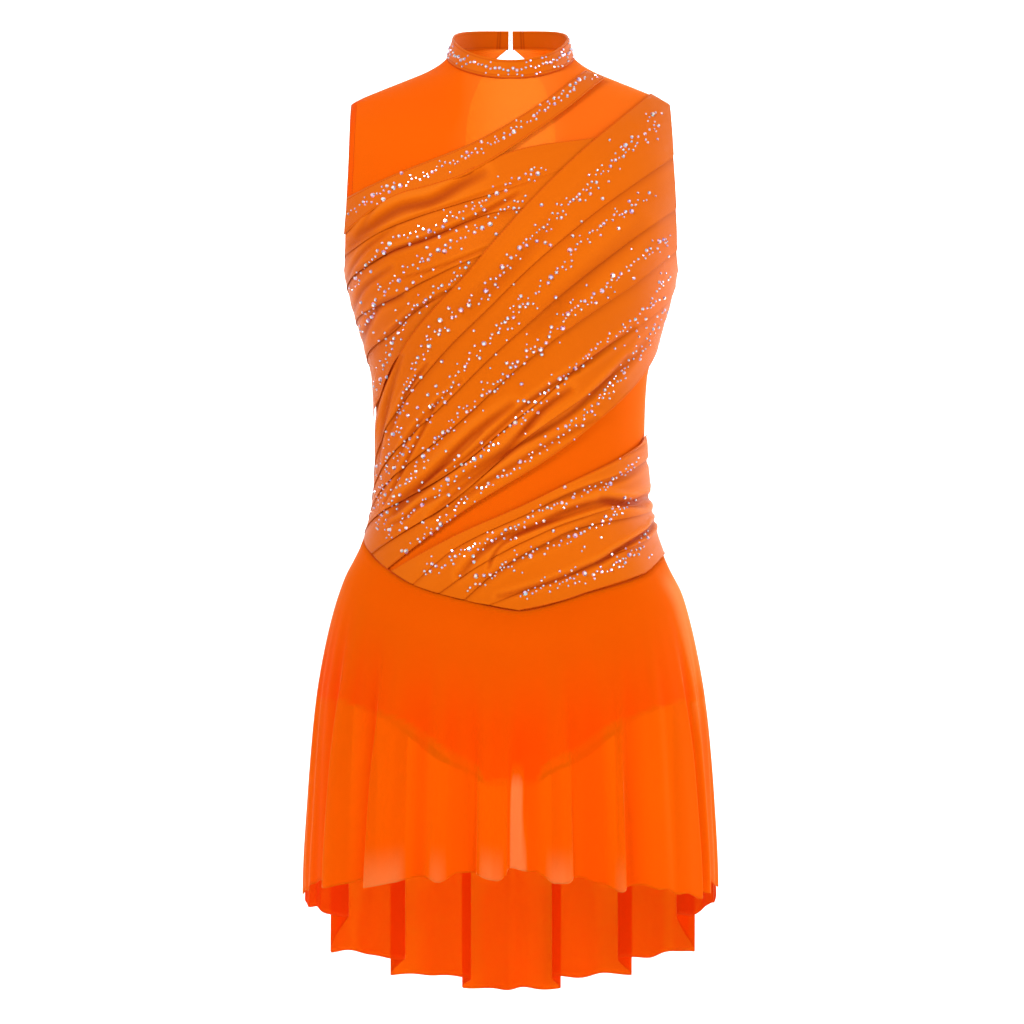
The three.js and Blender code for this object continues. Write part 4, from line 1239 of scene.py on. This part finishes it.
def collar_stones():
    draw = random.Random(11)
    places = []
    for i in range(COLLAR_STONES):
        angle = mix(open_angle - 176, 176 - open_angle, (i + 0.5) / COLLAR_STONES)
        rows = [(draw.uniform(0.34, 0.60), draw.choice(STONE_SIZES[1:3]))]
        if draw.random() < SMALL_CHANCE:
            share = draw.choice((0.14, 0.80)) + draw.uniform(-0.06, 0.06)
            rows.append((share, draw.choice(STONE_SIZES[:2])))
        for share, radius in rows:
            turn = angle + draw.uniform(-0.7, 0.7)
            point = collar_place(np.array([turn]), np.array([share]), COLLAR_THICK / 2)[0]
            out = Vector((point[0] / 60 ** 2, point[1] / 58 ** 2, 0)).normalized()
            places.append((Vector(point) * MM, out, radius * MM))
    set_stones("stones_collar", places, 12)


collar_stones()


# The fastening is a plated hook and eye, small enough to sit in the gap between the collar's ends.
# Both are the solids themselves, closed as they are worn, with a finish of dull plated wire.
def steel_material():
    material, tree, shader = new_finish("steel_wire", {"Metallic": 1.0})
    plate = tone(tree, (0.72, 0.72, 0.74), (0.55, 0.55, 0.58), cloudy(tree, 900.0))
    tree.links.new(plate, shader.inputs["Base Color"])
    rough = math_node(tree, "MULTIPLY", cloudy(tree, 600.0), 0.25)
    tree.links.new(math_node(tree, "ADD", rough, 0.18), shader.inputs["Roughness"])
    return material


steel_wire = steel_material()
for node in ("collar_hook", "collar_eye"):
    fastening = bpy.data.objects[node]
    fastening.data.materials.clear()
    fastening.data.materials.append(steel_wire)


# The stage: a pale floor that curves up into a backdrop, a wide soft key from the front left, a fill
# from the right, a low light behind, and a white sky.
FLOOR_Z = -1.45
BACK_Y = 2.6
SWEEP_LONG, SWEEP_WIDE = 9.0, 12
SWEEP_FLAT, SWEEP_BEND = 5.0, 0.8


def stage_sweep():
    bm = bmesh.new()
    bmesh.ops.create_grid(bm, x_segments=2, y_segments=60, size=0.5)
    for vert in bm.verts:
        run = (vert.co.y + 0.5) * SWEEP_LONG - SWEEP_FLAT
        turn = min(max(run / SWEEP_BEND, 0), math.pi / 2)
        y = min(run, 0) + SWEEP_BEND * math.sin(turn)
        z = SWEEP_BEND * (1 - math.cos(turn)) + max(run - SWEEP_BEND * math.pi / 2, 0)
        vert.co = (vert.co.x * SWEEP_WIDE, BACK_Y - SWEEP_BEND + y, FLOOR_Z + z)
    for face in bm.faces:
        face.smooth = True
    paper = new_finish("studio_paper", {"Base Color": (0.95, 0.95, 0.95, 1), "Roughness": 0.9})[0]
    finished("studio_sweep", bm, paper)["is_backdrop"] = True


stage_sweep()


def area_light(name, place, aim, size, power):
    light = bpy.data.lights.new(name, "AREA")
    light.shape = "RECTANGLE"
    light.size, light.size_y = size
    light.energy = power
    lamp = bpy.data.objects.new(name, light)
    lamp.location = place
    lamp.rotation_euler = (Vector(aim) - Vector(place)).to_track_quat("-Z", "Y").to_euler()
    bpy.context.scene.collection.objects.link(lamp)


area_light("key", (-1.7, -2.0, 1.5), (0, 0, -0.35), (1.0, 1.2), 52)
area_light("fill", (2.2, -1.8, 0.2), (0, 0, -0.45), (1.2, 2.0), 34)
area_light("rim", (1.9, 1.1, 0.2), (0.1, 0, -0.45), (0.8, 2.0), 22)
area_light("backdrop", (0, 0.9, 0.9), (0, 2.6, -0.2), (3.0, 1.0), 60)

world = bpy.data.worlds.new("studio")
world.use_nodes = True
world.node_tree.nodes["Background"].inputs["Color"].default_value = (1, 1, 1, 1)
world.node_tree.nodes["Background"].inputs["Strength"].default_value = 0.5
bpy.context.scene.world = world
bpy.context.scene.view_settings.view_transform = "Standard"

# The camera stands 3 m in front, a little above the waist, and looks slightly down. At that distance
# it takes in a little more than the dress's height.
EYE = (0.0014, -3.0, -0.330)
LOOK_DOWN = 1.83
SEEN_WIDTH = 0.983
camera = bpy.data.cameras.new("camera")
camera.sensor_width = 36
camera.lens = camera.sensor_width * -EYE[1] / SEEN_WIDTH
viewer = bpy.data.objects.new("camera", camera)
viewer.location = EYE
viewer.rotation_euler = (math.radians(90 - LOOK_DOWN), 0, 0)
bpy.context.scene.collection.objects.link(viewer)
bpy.context.scene.camera = viewer

boxes = {"cad": cad_box, "visual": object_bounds()}
{k: [[float(n) for n in corner] for corner in v] for k, v in boxes.items()}
